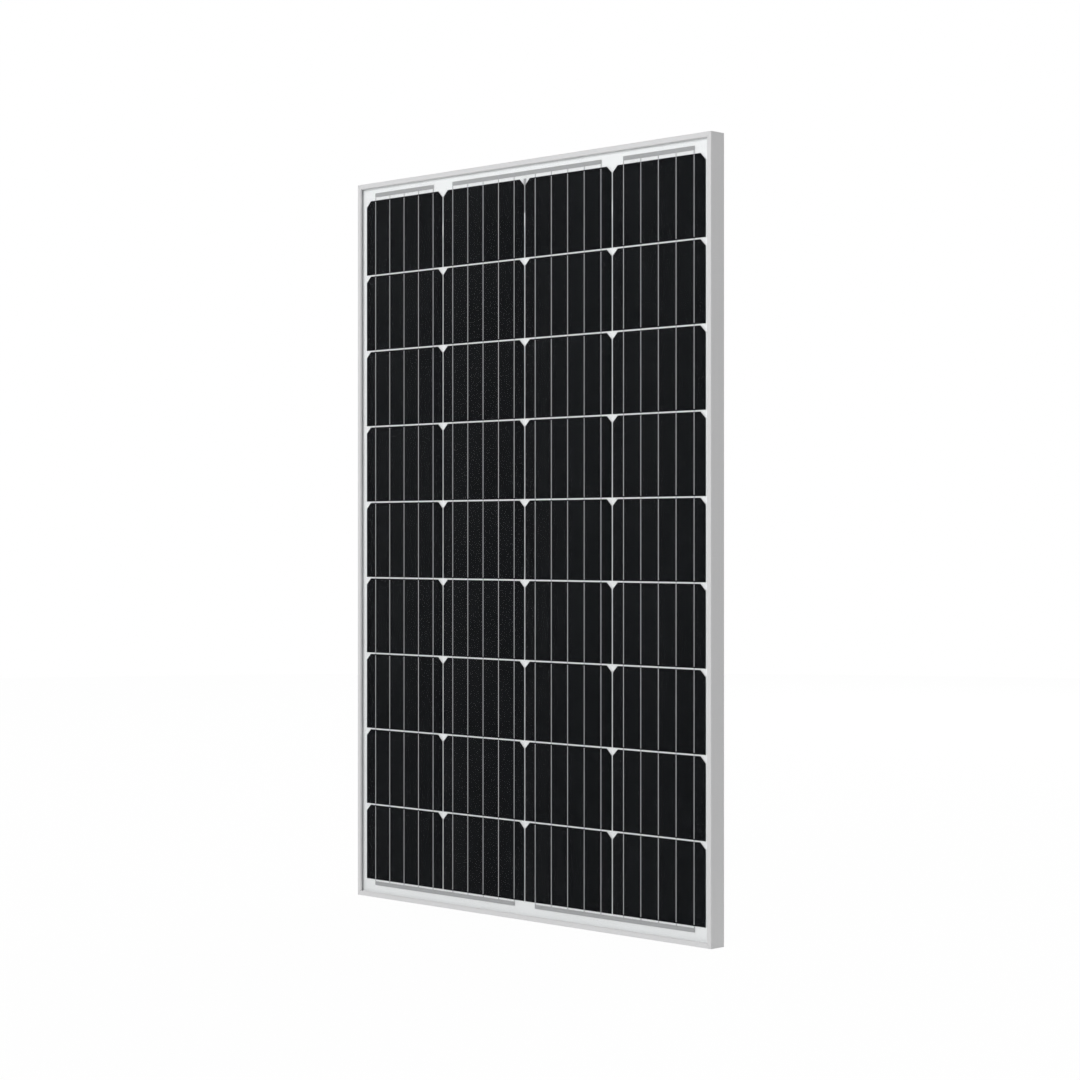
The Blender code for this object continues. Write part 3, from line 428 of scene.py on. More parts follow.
def dust_group():
    """Handling marks: sparse short scratches, from a thin band of stretched noise, and specks of dust."""
    inputs = {"Vector": ("Vector", None), "Amount": ("Float", 0.5)}
    group, w = make_group("handling_marks", inputs, {"Scratches": "Float", "Dust": "Float"})
    given = w.add("NodeGroupInput")
    drawn = {"Vector": given.outputs[0], "Rotation": (0.4, 0.7, 0.3), "Scale": (14.0, 14.0, 420.0)}
    lines = w.noise(w.add("Mapping", drawn).outputs[0], 1.0, 1.0)
    near = w.maths("ABSOLUTE", w.maths("SUBTRACT", lines, 0.5))
    thin = w.ramp(near, 0.0, 0.010, 1.0, 0.0)
    patches = w.ramp(w.noise(given.outputs[0], 17.0, 2.0), 0.58, 0.70)
    scratches = w.maths("MULTIPLY", w.maths("MULTIPLY", thin, patches), given.outputs[1])
    specks = w.ramp(w.noise(given.outputs[0], 620.0, 1.0), 0.70, 0.80)
    cloud = w.ramp(w.noise(given.outputs[0], 6.0, 4.0), 0.45, 0.75)
    dust = w.maths("MULTIPLY", w.maths("ADD", w.maths("MULTIPLY", cloud, 0.35), specks), given.outputs[1])
    out = w.add("NodeGroupOutput")
    w.tree.links.new(scratches, out.inputs[0])
    w.tree.links.new(dust, out.inputs[1])
    return group


def new_material(name):
    """A material with a Principled shader, its wiring and the Object coordinates."""
    material = bpy.data.materials.new(name)
    material.use_nodes = True
    w = Wiring(material.node_tree)
    shader = material.node_tree.nodes["Principled BSDF"]
    where = w.add("TexCoord").outputs["Object"]
    return material, w, shader, where


def grouped(w, group, **inputs):
    node = w.add("Group", node_tree=group)
    for key, value in inputs.items():
        socket = node.inputs[key.replace("_", " ")]
        if isinstance(value, bpy.types.NodeSocket):
            w.tree.links.new(value, socket)
        else:
            socket.default_value = value
    return node.outputs


def bumped(w, shader, height, distance, strength=1.0):
    """Links a height to the shader's normal through a Bump node."""
    bump = w.add("Bump", {"Height": height, "Distance": distance, "Strength": strength})
    w.tree.links.new(bump.outputs[0], shader.inputs["Normal"])


def surface(name, colour, roughness, metallic=0.0, grain=None, spread=0.06, bump=0.02, marks=0.4, stretch=(1, 1, 1)):
    """A finish with grain, a slow change of tone, dust and scratches."""
    material, w, shader, where = new_material(name)
    fine = grouped(w, FINE_GRAIN, Vector=where, Stretch=stretch, Scale=grain or 900.0)
    handled = grouped(w, HANDLING, Vector=where, Amount=marks)
    tone = w.maths("ADD", w.maths("MULTIPLY", fine["Mottle"], 0.7), w.maths("MULTIPLY", fine["Height"], 0.3))
    base = w.mix(tone, rgba(colour, 1 - spread), rgba(colour, 1 + spread))
    dusty = w.mix(w.maths("MULTIPLY", handled["Dust"], 0.10), base, (0.55, 0.54, 0.52, 1.0))
    w.tree.links.new(dusty, shader.inputs["Base Color"])
    rough = w.ramp(tone, 0.3, 0.7, roughness - 0.05, roughness + 0.05)
    rough = w.maths("ADD", rough, w.maths("MULTIPLY", handled["Scratches"], -0.08))
    w.tree.links.new(rough, shader.inputs["Roughness"])
    shader.inputs["Metallic"].default_value = metallic
    height = w.maths("SUBTRACT", fine["Height"], w.maths("MULTIPLY", handled["Scratches"], 0.8))
    bumped(w, shader, height, bump * MM)
    return material


def anodised(name, colour, stretch):
    """Matt anodised extrusion: drawn lines along its length, faint die bands and a satin sheen."""
    material, w, shader, where = new_material(name)
    lines = grouped(w, FINE_GRAIN, Vector=where, Stretch=stretch, Scale=1400.0)
    bands = grouped(w, FINE_GRAIN, Vector=where, Stretch=stretch, Scale=260.0)
    handled = grouped(w, HANDLING, Vector=where, Amount=0.5)
    tone = w.maths("ADD", w.maths("MULTIPLY", lines["Height"], 0.5), w.maths("MULTIPLY", bands["Height"], 0.5))
    base = w.mix(tone, rgba(colour, 0.95), rgba(colour, 1.05))
    base = w.mix(w.maths("MULTIPLY", handled["Scratches"], 0.5), base, rgba(colour, 1.25))
    w.tree.links.new(base, shader.inputs["Base Color"])
    w.tree.links.new(w.ramp(tone, 0.3, 0.7, 0.44, 0.56), shader.inputs["Roughness"])
    shader.inputs["Metallic"].default_value = 0.35
    bumped(w, shader, w.maths("SUBTRACT", tone, w.maths("MULTIPLY", handled["Scratches"], 0.6)), 0.012 * MM)
    return material


def silicon_finish(cells):
    """Textured silicon: printed silver fingers across each cell, faint tone bands and pyramids."""
    material, w, shader, where = new_material("textured_silicon")
    parts = w.add("SeparateXYZ", {0: where})
    phase = w.maths("FRACT", w.maths("DIVIDE", w.maths("ADD", parts.outputs[2], 1.0), cells.finger_pitch))
    away = w.maths("MULTIPLY", w.maths("ABSOLUTE", w.maths("SUBTRACT", phase, 0.5)), cells.finger_pitch)
    finger = w.ramp(away, 0.020 * MM, 0.060 * MM, 1.0, 0.0)
    fine = grouped(w, FINE_GRAIN, Vector=where, Scale=5200.0, Mottle_Scale=5.0)
    bands = w.noise(w.stretched(where, (16.0, 1.0, 0.6)), 1.0, 2.0)
    base = w.mix(w.ramp(bands, 0.3, 0.7), rgba(cells.silicon, 0.86), rgba(cells.silicon, 1.16))
    base = w.mix(w.maths("MULTIPLY", fine["Mottle"], 0.22), base, (0.0035, 0.0039, 0.0066, 1.0))
    printed = w.mix(w.maths("MULTIPLY", finger, 0.06), base, (0.09, 0.09, 0.094, 1.0))
    w.tree.links.new(printed, shader.inputs["Base Color"])
    w.tree.links.new(w.ramp(finger, 0.0, 1.0, 0.60, 0.66), shader.inputs["Roughness"])
    shader.inputs["Specular IOR Level"].default_value = 0.03
    height = w.maths("ADD", w.maths("MULTIPLY", fine["Height"], 0.10), finger)
    bumped(w, shader, height, 0.002 * MM)
    return material


def glass_finish():
    """Low-iron glass with an antireflective coat: clear, and mirroring a little more at a low angle."""
    material, w, shader, where = new_material("coated_glass")
    material.node_tree.nodes.remove(shader)
    fine = grouped(w, FINE_GRAIN, Vector=where, Scale=1500.0, Mottle_Scale=3.0)
    bump = w.add("Bump", {"Height": fine["Height"], "Distance": 0.006 * MM, "Strength": 0.6})
    clear = w.add("BsdfTransparent", {"Color": (0.985, 0.990, 0.990, 1.0)})
    rough = w.ramp(fine["Mottle"], 0.3, 0.7, 0.10, 0.15)
    gloss = w.add("BsdfGlossy", {"Color": (1.0, 1.0, 1.0, 1.0), "Roughness": rough, "Normal": bump.outputs[0]})
    share = w.maths("MULTIPLY", w.add("Fresnel", {"IOR": 1.10}).outputs[0], 0.14)
    both = w.add("MixShader", {0: share, 1: clear.outputs[0], 2: gloss.outputs[0]})
    w.tree.links.new(both.outputs[0], w.tree.nodes["Material Output"].inputs["Surface"])
    return material


def film_finish():
    """Laminating film: clear, with the faintest milkiness that varies slowly."""
    material, w, shader, where = new_material("clear_film")
    fine = grouped(w, FINE_GRAIN, Vector=where, Scale=300.0, Mottle_Scale=4.0)
    w.tree.links.new(
        w.mix(fine["Mottle"], (0.90, 0.91, 0.91, 1.0), (0.94, 0.94, 0.93, 1.0)), shader.inputs["Base Color"]
    )
    w.tree.links.new(w.ramp(fine["Height"], 0.3, 0.7, 0.45, 0.60), shader.inputs["Roughness"])
    shader.inputs["Alpha"].default_value = 0.0012
    return material


def over_cells(w, where, cells):
    """A mask of the cells' area: 1 over a cell and 0 over the gaps between cells and the margin."""
    parts = w.add("SeparateXYZ", {0: where})
    top = sizes("cell_string_1")[1][2] - BUS_TO_CELLS
    inside = None
    for place, start, pitch, count in (
        (parts.outputs[0], -(cells.width + cells.gap) * cells.columns / 2, cells.width + cells.gap, cells.columns),
        (w.maths("MULTIPLY", parts.outputs[2], -1.0), -top - cells.gap / 2, cells.height + cells.gap, cells.rows),
    ):
        along = w.maths("DIVIDE", w.maths("SUBTRACT", place, start), pitch)
        near = w.maths("MULTIPLY", w.maths("ABSOLUTE", w.maths("SUBTRACT", w.maths("FRACT", along), 0.5)), pitch)
        cell = w.ramp(near, pitch / 2 - 2.2 * MM, pitch / 2 - 0.8 * MM, 1.0, 0.0)
        within = w.maths("MULTIPLY", w.maths("GREATER_THAN", along, 0.0), w.maths("LESS_THAN", along, count))
        both = w.maths("MULTIPLY", cell, within)
        inside = both if inside is None else w.maths("MULTIPLY", inside, both)
    return inside


def backsheet_finish(colour, cells):
    """Matt white film with a fine emboss, and a touch of painted shade where the cells lie behind it."""
    material, w, shader, where = new_material("white_film")
    fine = grouped(w, FINE_GRAIN, Vector=where, Scale=1100.0, Mottle_Scale=7.0)
    handled = grouped(w, HANDLING, Vector=where, Amount=0.25)
    base = w.mix(fine["Mottle"], rgba(colour, 0.985), rgba(colour, 1.01))
    painted_cell_shade_and_relief = over_cells(w, where, cells)
    # Painted shade: the sheet is darkened a little over each cell's area, as if the cells behind it shaded it. The
    # same mask also raises a slight relief in the bump below.
    base = w.mix(w.maths("MULTIPLY", painted_cell_shade_and_relief, 0.09), base, (0.44, 0.45, 0.48, 1.0))
    base = w.mix(w.maths("MULTIPLY", handled["Dust"], 0.05), base, (0.66, 0.65, 0.62, 1.0))
    w.tree.links.new(base, shader.inputs["Base Color"])
    w.tree.links.new(w.ramp(fine["Height"], 0.3, 0.7, 0.52, 0.64), shader.inputs["Roughness"])
    waves = w.noise(w.stretched(where, (34.0, 1.0, 40.0)), 1.0, 2.0)
    height = w.maths("ADD", w.maths("MULTIPLY", fine["Height"], 0.12), w.maths("MULTIPLY", waves, 0.5))
    bumped(w, shader, w.maths("ADD", height, w.maths("MULTIPLY", painted_cell_shade_and_relief, 1.4)), 0.06 * MM)
    return material


def materials():
    """Every finish by its name, built once."""
    scene = bpy.context.scene
    if "solar_glass" not in FINISHES:
        cells, panel, box = scene.panel_cells, scene.panel_frame, scene.panel_box
        FINISHES.update(
            upright_aluminium=anodised("anodised_upright", panel.aluminium, (1.0, 1.0, 0.012)),
            level_aluminium=anodised("anodised_level", panel.aluminium, (0.012, 1.0, 1.0)),
            key_aluminium=surface("mill_aluminium", (0.42, 0.42, 0.44), 0.45, 1.0, bump=0.03),
            solar_glass=glass_finish(),
            encapsulant=film_finish(),
            silicon_cell=silicon_finish(cells),
            tinned_copper=surface("tinned_ribbon", cells.tinned, 0.42, 0.25, 2600.0, 0.05, 0.01, 0.1),
            bus_copper=surface("tinned_bus", (0.375, 0.375, 0.38), 0.45, 0.20, 1900.0, 0.05, 0.02, 0.2),
            insulation_film=surface("insulation_white", (0.86, 0.86, 0.86), 0.5, grain=700.0, marks=0.1),
            white_backsheet=backsheet_finish(panel.white, cells),
            grey_silicone=surface("cured_silicone", (0.74, 0.74, 0.745), 0.62, grain=500.0, bump=0.08, marks=0.3),
            black_plastic=surface("moulded_black", box.plastic, 0.42, grain=2100.0, spread=0.10, bump=0.03),
            worn_plastic=surface("moulded_nut", box.plastic, 0.44, grain=2600.0, spread=0.12, bump=0.02, marks=0.7),
            black_rubber=surface("soft_rubber", (0.017, 0.017, 0.017), 0.78, grain=1500.0, bump=0.04, marks=0.6),
            plated_steel=surface("zinc_plate", (0.56, 0.56, 0.53), 0.33, 1.0, 1600.0, 0.08, 0.015, 0.5),
            black_epoxy=surface("diode_case", (0.018, 0.018, 0.019), 0.38, grain=1800.0, bump=0.02),
        )
    return FINISHES


FINISHES = {}


class PANEL_OT_groups(bpy.types.Operator):
    """Build the shader groups that the finishes share"""

    bl_idname = "solar_panel.groups"
    bl_label = "Shader groups"

    def execute(self, context):
        global FINE_GRAIN, HANDLING
        FINE_GRAIN, HANDLING = grain_group(), dust_group()
        return {"FINISHED"}


class PANEL_OT_stage(bpy.types.Operator):
    """Set up the floor, the studio lamps, the world and the camera"""

    bl_idname = "solar_panel.stage"
    bl_label = "Stage"

    def execute(self, context):
        scene, stage = context.scene, context.scene.panel_stage
        scene.view_settings.view_transform = "Standard"
        scene.cycles.transparent_max_bounces = 32
        self.world(scene, stage)
        self.floor(scene, stage)
        self.lamp("key_softbox", (0.9, -4.8, 1.5), (0, 0, 0.0), 3.6, 3.2, 172.0)
        self.lamp("side_softbox", (-4.2, -1.6, 1.2), (0, 0, 0.0), 2.2, 2.6, 22.0)
        self.lamp("rear_softbox", (-1.4, 4.5, 1.9), (0, 0, 0.0), 3.0, 2.6, 150.0)
        self.camera(scene, stage)
        return {"FINISHED"}

    def world(self, scene, stage):
        """An even soft light on the object, and the backdrop's own colour where a camera or a mirror sees it."""
        world = bpy.data.worlds.new("studio")
        scene.world, world.use_nodes = world, True
        w = Wiring(world.node_tree)
        world.node_tree.nodes.clear()
        light = w.add("Background", {"Color": (1.0, 1.0, 1.0, 1.0), "Strength": 0.25})
        shown = w.add("Background", {"Color": (*stage.backdrop, 1.0), "Strength": 1.0})
        path = w.add("LightPath")
        seen = w.maths("MAXIMUM", path.outputs["Is Camera Ray"], path.outputs["Is Glossy Ray"])
        seen = w.maths("MAXIMUM", seen, path.outputs["Is Transmission Ray"])
        both = w.add("MixShader", {0: seen, 1: light.outputs[0], 2: shown.outputs[0]})
        out = w.add("OutputWorld", {"Surface": both.outputs[0]})
        out.is_active_output = True

    def floor(self, scene, stage):
        """A disc under the frame, of rings whose radii grow evenly, that fades into the backdrop."""
        low = CAD_BOX[0][2]
        radii = np.linspace(0.0, 6.0, 7)[1:]
        turn = np.linspace(0, 2 * math.pi, 96, endpoint=False)
        rings = np.stack(
            [radii[:, None] * np.cos(turn), radii[:, None] * np.sin(turn), np.full((6, 96), low)], -1
        ).reshape(-1, 3)
        i, j = np.arange(5)[:, None] * 96, np.arange(96)[None]
        quads = np.stack([i + j, i + 96 + j, i + 96 + (j + 1) % 96, i + (j + 1) % 96], -1).reshape(-1, 4)
        mesh = bpy.data.meshes.new("studio_floor")
        mesh.from_pydata(rings.tolist(), [], quads.tolist() + [list(range(96))])
        floor = bpy.data.objects.new("studio_floor", mesh)
        scene.collection.objects.link(floor)
        material, w, shader, _ = new_material("floor_paint")
        shader.inputs["Base Color"].default_value = (0.90, 0.90, 0.90, 1.0)
        shader.inputs["Roughness"].default_value = 0.9
        shader.inputs["Specular IOR Level"].default_value = 0.0
        glow = w.add("Emission", {"Color": (1.0, 1.0, 1.0, 1.0), "Strength": 1.0})
        path = w.add("LightPath")
        seen = w.maths("MAXIMUM", path.outputs["Is Camera Ray"], path.outputs["Is Glossy Ray"])
        seen = w.maths("MAXIMUM", seen, path.outputs["Is Transmission Ray"])
        share = w.maths("MULTIPLY", seen, stage.floor_light)
        both = w.add("MixShader", {0: share, 1: shader.outputs[0], 2: glow.outputs[0]})
        w.tree.links.new(both.outputs[0], w.tree.nodes["Material Output"].inputs["Surface"])
        mesh.materials.append(material)

    def lamp(self, name, place, target, width, height, power):
        """A rectangular softbox that faces the target."""
        data = bpy.data.lights.new(name, "AREA")
        data.shape, data.size, data.size_y, data.energy = "RECTANGLE", width, height, power
        lamp = bpy.data.objects.new(name, data)
        bpy.context.scene.collection.objects.link(lamp)
        lamp.visible_glossy = False
        lamp.location = place
        lamp.rotation_euler = (Vector(target) - Vector(place)).to_track_quat("-Z", "Y").to_euler()

    def camera(self, scene, stage):
        data = bpy.data.cameras.new("viewpoint")
        data.lens, data.sensor_width, data.clip_end = stage.lens, 36.0, 50.0
        camera = bpy.data.objects.new("viewpoint", data)
        scene.collection.objects.link(camera)
        camera.location = (2.307, -2.313, 0.0)
        camera.rotation_euler = (math.radians(90.0), 0.0, math.radians(44.81))
        scene.camera = camera


class PANEL_OT_frame(bpy.types.Operator):
    """Finish the four frame rails, the corner keys and the edge sealant"""

    bl_idname = "solar_panel.frame"
    bl_label = "Frame"

    def execute(self, context):
        finish = materials()
        for side, lie in (("left", "upright"), ("right", "upright"), ("top", "level"), ("bottom", "level")):
            metal = finish[f"{lie}_aluminium"]
            moulded(f"frame_rail_{side}", f"rail_{side}", metal, 0.14 * MM)
        for level in ("top", "bottom"):
            for side in SIDES:
                finish_node(f"corner_key_{level}_{side}", finish["key_aluminium"])
        finish_node("edge_sealant", finish["grey_silicone"])
        return {"FINISHED"}


class PANEL_OT_sheets(bpy.types.Operator):
    """Finish the glass, the films and the rear sheet, and raise the ribbons' ridges on its back"""

    bl_idname = "solar_panel.sheets"
    bl_label = "Glass and sheets"

    def execute(self, context):
        finish, cells, panel = materials(), context.scene.panel_cells, context.scene.panel_frame
        finish_node("front_glass", finish["solar_glass"])
        for name in ("front_encapsulant", "rear_encapsulant"):
            finish_node(name, finish["encapsulant"])
        finish_node("backsheet", finish["white_backsheet"])
        finish_node("insulation_strip", finish["insulation_film"])
        self.ridges(finish["white_backsheet"], cells, panel.ridge_height)
        return {"FINISHED"}

    def ridges(self, material, cells, height):
        """Raised lines where the strings press into the rear sheet, and none under the junction box.

        Each is a wave, height * (1 + cos) / 2 across its width, that falls to nothing at its ends.
        """
        back = sizes("backsheet")[1][1]
        base_low, base_high = sizes("junction_box_base")
        low, high = sizes("bus_bottom_left")[0][2], sizes("bus_top_left")[1][2]
        across = np.linspace(-1, 1, 9)
        wave = (1 + np.cos(math.pi * across)) / 2
        shapes = []
        whole, split = ((low, high),), ((low, base_low[2] - 20 * MM), (base_high[2] + 8 * MM, high))
        for x in ribbon_places(cells):
            under_box = base_low[0] - 4 * MM < x < base_high[0] + 4 * MM
            for bottom, top in split if under_box else whole:
                along = np.linspace(bottom, top, 24)
                fade = np.clip(np.minimum(along - bottom, top - along) / (6 * MM), 0, 1)
                rise = height * (fade * fade * (3 - 2 * fade))[:, None] * wave[None]
                points = np.empty((24, 10, 3))
                points[:, :9, 0] = x + across * 2.2 * MM
                points[:, :9, 1] = back + rise - 0.004 * MM
                points[:, 9, 0], points[:, 9, 1] = x, back - 0.05 * MM
                points[..., 2] = along[:, None]
                shapes.append((points.reshape(-1, 3), tube_faces(24, 10)))
        piece("ribbon_ridges", shapes, material, "panel")


def ribbon_places(cells):
    """The place across the panel of every ribbon, string by string."""
    columns = (np.arange(cells.columns) - (cells.columns - 1) / 2) * (cells.width + cells.gap)
    ribbons = (np.arange(cells.ribbons) - (cells.ribbons - 1) / 2) * cells.ribbon_pitch
    return (columns[:, None] + ribbons[None]).ravel()


class PANEL_OT_strings(bpy.types.Operator):
    """Build each string of wafers, the ribbons that join them and the bus ribbons at their ends"""

    bl_idname = "solar_panel.strings"
    bl_label = "Cell strings"

    def execute(self, context):
        finish, cells = materials(), context.scene.panel_cells
        low, high = sizes("cell_string_1")
        self.ribbon_front, self.ribbon_back = low[1], high[1]
        self.low_end, self.high_end = low[2], high[2]
        self.cell_front = self.ribbon_front + 0.16 * MM
        self.cell_back = self.ribbon_back - 0.16 * MM
        self.top = self.high_end - BUS_TO_CELLS
        places = ribbon_places(cells).reshape(cells.columns, cells.ribbons)
        for column in range(cells.columns):
            wafers = self.wafers(cells, column)
            name = f"cell_string_{column + 1}"
            piece(f"wafers_{column + 1}", [wafers], finish["silicon_cell"], "panel", (name,))
            ribbons = self.ribbons(cells, places[column], column % 2 == 0)
            piece(f"ribbons_{column + 1}", ribbons, finish["tinned_copper"], "panel", angle=60.0)
        for name in ("top_left", "top_middle", "top_right", "bottom_left", "bottom_right"):
            self.bus(name, places.ravel(), finish["bus_copper"])
        for name in ("left", "middle", "right"):
            finish_node(f"lead_{name}", finish["bus_copper"])
        self.lead_covers(finish["insulation_film"])
        return {"FINISHED"}

    def lead_covers(self, material):
        """White film over each lead where it leaves its bus ribbon: a rounded plate in the gap under it."""
        bus_low = sizes("bus_top_left")[0]
        middle = (bus_low[2] + self.top) / 2
        outline = superellipse(7.0 * MM, bus_low[2] - self.top - 0.3 * MM, 16, 8.0)
        cover = plate(outline, -19.45 * MM, -19.41 * MM, 0.01 * MM)
        left, right = sizes("lead_left")[0][0] + LEAD_HALF, sizes("lead_right")[1][0] - LEAD_HALF
        places = [(x, 0.0, middle) for x in (left, 0.0, right)]
        piece("lead_covers", [repeated(cover, places)], material, "panel")

    def wafers(self, cells, column):
        """A string's cells: one wafer, a rectangle with its upper corners cut off, set down in each row."""
        half, height, cut = cells.width / 2, cells.height, cells.chamfer
        nick = 0.15 * MM
        outline = np.array(
            [
                (-half + nick, -height),
                (half - nick, -height),
                (half, -height + nick),
                (half, -cut),
                (half - cut, 0.0),
                (-half + cut, 0.0),
                (-half, -cut),
                (-half, -height + nick),
            ]
        )
        wafer = plate(outline, self.cell_front, self.cell_back, 0.05 * MM)
        x = (column - (cells.columns - 1) / 2) * (cells.width + cells.gap)
        rows = np.arange(cells.rows) * (cells.height + cells.gap)
        return repeated(wafer, np.stack([np.full(cells.rows, x), np.zeros(cells.rows), self.top - rows], 1))

    def ribbons(self, cells, across, starts_in_front):
        """Ribbons that lie on one cell's front, step through the gap and lie on the next one's back.

        The section is a flattened superellipse, and the step is a smooth S, 3 t^2 - 2 t^3, in depth.
        """
        thick = 0.17 * MM
        front = self.ribbon_front + thick / 2 + 0.002 * MM
        back = self.ribbon_back - thick / 2 - 0.002 * MM
        profile = superellipse(cells.ribbon_width, thick, 12, 3.2)
        pitch = cells.height + cells.gap
        inset = 1.5 * MM
        shapes = []

        def run(top, bottom, upper, lower, step_at):
            """One ribbon from top to bottom, at depth upper above step_at and lower below it."""
            t = np.linspace(0, 1, 7)
            step = step_at + cells.gap / 2 * (1 - 2 * t)
            ends = np.array([top, top - 0.3 * MM, bottom + 0.3 * MM, bottom])
            z = np.concatenate([ends[:2], step, ends[2:]])
            y = np.concatenate([[upper, upper], upper + (lower - upper) * t * t * (3 - 2 * t), [lower, lower]])
            widths = np.concatenate([[0.8], np.ones(len(z) - 2), [0.8]])
            path = np.stack([np.zeros(len(z)), y, z], 1)
            shapes.append(repeated(swept(profile, path, widths), [(x, 0, 0) for x in across]))

        for row in range(cells.rows - 1):
            top = self.top - row * pitch - inset
            bottom = self.top - (row + 1) * pitch - cells.height + inset
            gap = self.top - (row + 1) * pitch + cells.gap / 2
            run(top, bottom, *((front, back) if starts_in_front else (back, front)), gap)
        first, last = (back, front) if starts_in_front else (front, back)
        run(self.high_end, self.top - cells.height + inset, first, first, self.top - cells.height / 2)
        last_top = self.top - (cells.rows - 1) * pitch
        run(last_top - inset, self.low_end, last, last, last_top - cells.height / 2)
        return shapes

    def bus(self, name, across, material):
        """A flat ribbon with rounded edges, carried along X, with a soldered pad at each ribbon it meets.

        A pad is a thin plate with a rounded rim, its outline a superellipse of power 4, standing a little proud of
        both faces of the ribbon.
        """
        low, high = sizes(f"bus_{name}")
        middle = (low + high) / 2
        profile = superellipse(high[2] - low[2], high[1] - low[1], 16, 6.0)
        x = np.linspace(low[0], high[0], 40)
        width = np.ones(40)
        width[[0, -1]] = 0.94
        points = np.empty((40, 16, 3))
        points[..., 0] = x[:, None]
        points[..., 1] = middle[1] + profile[None, :, 1]
        points[..., 2] = middle[2] + width[:, None] * profile[None, :, 0]
        strip = (points.reshape(-1, 3), tube_faces(40, 16))
        met = [place for place in across if low[0] < place < high[0]]
        pad = plate(superellipse(1.9 * MM, 4.2 * MM, 16, 4.0), low[1] - 0.015 * MM, high[1] + 0.015 * MM, 0.04 * MM)
        pads = repeated(pad, [(place, 0.0, middle[2]) for place in met])
        piece(f"bus_strip_{name}", [strip, pads], material, "panel", (f"bus_{name}",))


class PANEL_OT_box(bpy.types.Operator):
    """Round the junction box's moulded edges and build its lid's ribs, terminals, diodes and screws"""

    bl_idname = "solar_panel.box"
    bl_label = "Junction box"

    def execute(self, context):
        finish, box = materials(), context.scene.panel_box
        moulded("junction_box_base", "box_base", finish["black_plastic"], box.edge)
        moulded("junction_box_lid", "box_lid", finish["black_plastic"], box.edge)
        moulded("lid_seal", "seal_ring", finish["black_rubber"], 0.12 * MM)
        finish_node("box_adhesive", finish["grey_silicone"])
        self.ribs(finish["black_plastic"], box.rib_height)
        for name in ("left", "middle", "right"):
            moulded(f"terminal_{name}", f"terminal_strip_{name}", finish["bus_copper"], 0.12 * MM)
        for name in SIDES:
            moulded(f"cable_clamp_{name}", f"clamp_plate_{name}", finish["plated_steel"], 0.14 * MM)
            moulded(f"clamp_screw_{name}", f"screw_{name}", finish["plated_steel"], 0.12 * MM)
            self.pin(name, finish["plated_steel"])
            self.diode(name, finish)
        return {"FINISHED"}

    def ribs(self, material, height):
        """A raised border and a block of grip ribs on the lid: rounded bars whose tops are half ellipses."""
        low, high = sizes("junction_box_lid")
        back = high[1]
        middle_z = (low[2] + LID_FACE_TOP) / 2
        half_x, half_z = (high[0] - low[0]) / 2 - 6.5 * MM, (LID_FACE_TOP - low[2]) / 2 - 6.5 * MM
        t = np.linspace(0, math.pi, 7)
        bar = np.stack([np.cos(t) * 0.9 * MM, np.sin(t) * height], 1)
        bar = np.concatenate([bar, [[-0.9 * MM, -0.2 * MM], [0.9 * MM, -0.2 * MM]]])
        outline = superellipse(2.0, 2.0, 96, 9.0)
        points = np.empty((96, len(bar), 3))
        points[..., 0] = outline[:, None, 0] * (half_x + bar[None, :, 0])
        points[..., 2] = middle_z + outline[:, None, 1] * (half_z + bar[None, :, 0])
        points[..., 1] = back + bar[None, :, 1]
        count = len(bar)
        i, j = np.arange(96)[:, None] * count, np.arange(count)[None]
        below = (i + count) % (96 * count)
        quads = np.stack([i + j, i + (j + 1) % count, below + (j + 1) % count, below + j], -1).reshape(-1, 4)
        border = (points.reshape(-1, 3), [quads])
        along = np.linspace(-1, 1, 15)
        shrink = np.sqrt(np.clip(1 - along**8, 0.02, 1))
        rib = np.empty((15, count, 3))
        rib[..., 0] = along[:, None] * 17 * MM
        rib[..., 2] = bar[None, :, 0] * 0.8 * shrink[:, None]
        rib[..., 1] = back + np.where(bar[None, :, 1] > 0, bar[None, :, 1] * shrink[:, None], bar[None, :, 1])
        shape = (rib.reshape(-1, 3), tube_faces(15, count))
        low_ribs = repeated(shape, [(0.0, 0.0, low[2] + 14 * MM + 3.4 * MM * step) for step in range(6)])
        piece("lid_ribs", [border, low_ribs], material, "junction_box_lid", angle=50.0)

    def pin(self, name, material):
        """A hinge pin: a round bar with rounded ends, turned about X."""
        low, high = sizes(f"hinge_pin_{name}")
        radius, centre = (high[1] - low[1]) / 2, (low + high)[1:] / 2
        t = np.linspace(0, math.pi / 2, 5)
        edge = radius * 0.35
        nose = np.stack([radius - edge + edge * np.sin(t), low[0] + edge * (1 - np.cos(t))], 1)
        tail = np.stack([nose[::-1, 0], low[0] + high[0] - nose[::-1, 1]], 1)
        profile = np.concatenate([[[1e-6, low[0]]], nose, tail, [[1e-6, high[0]]]])
        shape = turned("X", centre, profile, 24)
        piece(f"pin_{name}", [shape], material, "panel", (f"hinge_pin_{name}",))

    def diode(self, name, finish):
        """A bypass diode: a moulded barrel with a band at one end and a wire from each end, turned about X."""
        low, high = sizes(f"bypass_diode_{name}")
        radius, centre = (high[1] - low[1]) / 2, (low + high)[1:] / 2
        middle, reach, wire = (low[0] + high[0]) / 2, 4.5 * MM, 0.6 * MM
        barrel = rounded_profile(1e-6, radius, middle - reach, middle + reach, 0.5 * MM)
        shape = turned("X", centre, barrel, 32)
        piece(f"diode_{name}", [shape], finish["black_epoxy"], "panel", (f"bypass_diode_{name}",))
        wires = [
            turned("X", centre, rounded_profile(1e-6, wire, start, end, 0.15 * MM), 20)
            for start, end in ((low[0], middle - reach), (middle + reach, high[0]))
        ]
        piece(f"diode_wires_{name}", wires, finish["bus_copper"], "panel")
        band = rounded_profile(radius - 0.2 * MM, radius + 0.02 * MM, middle + 2.4 * MM, middle + 3.4 * MM, 0.01 * MM)
        mark = turned("X", centre, band, 32)
        piece(f"diode_band_{name}", [mark], finish["plated_steel"], "panel")


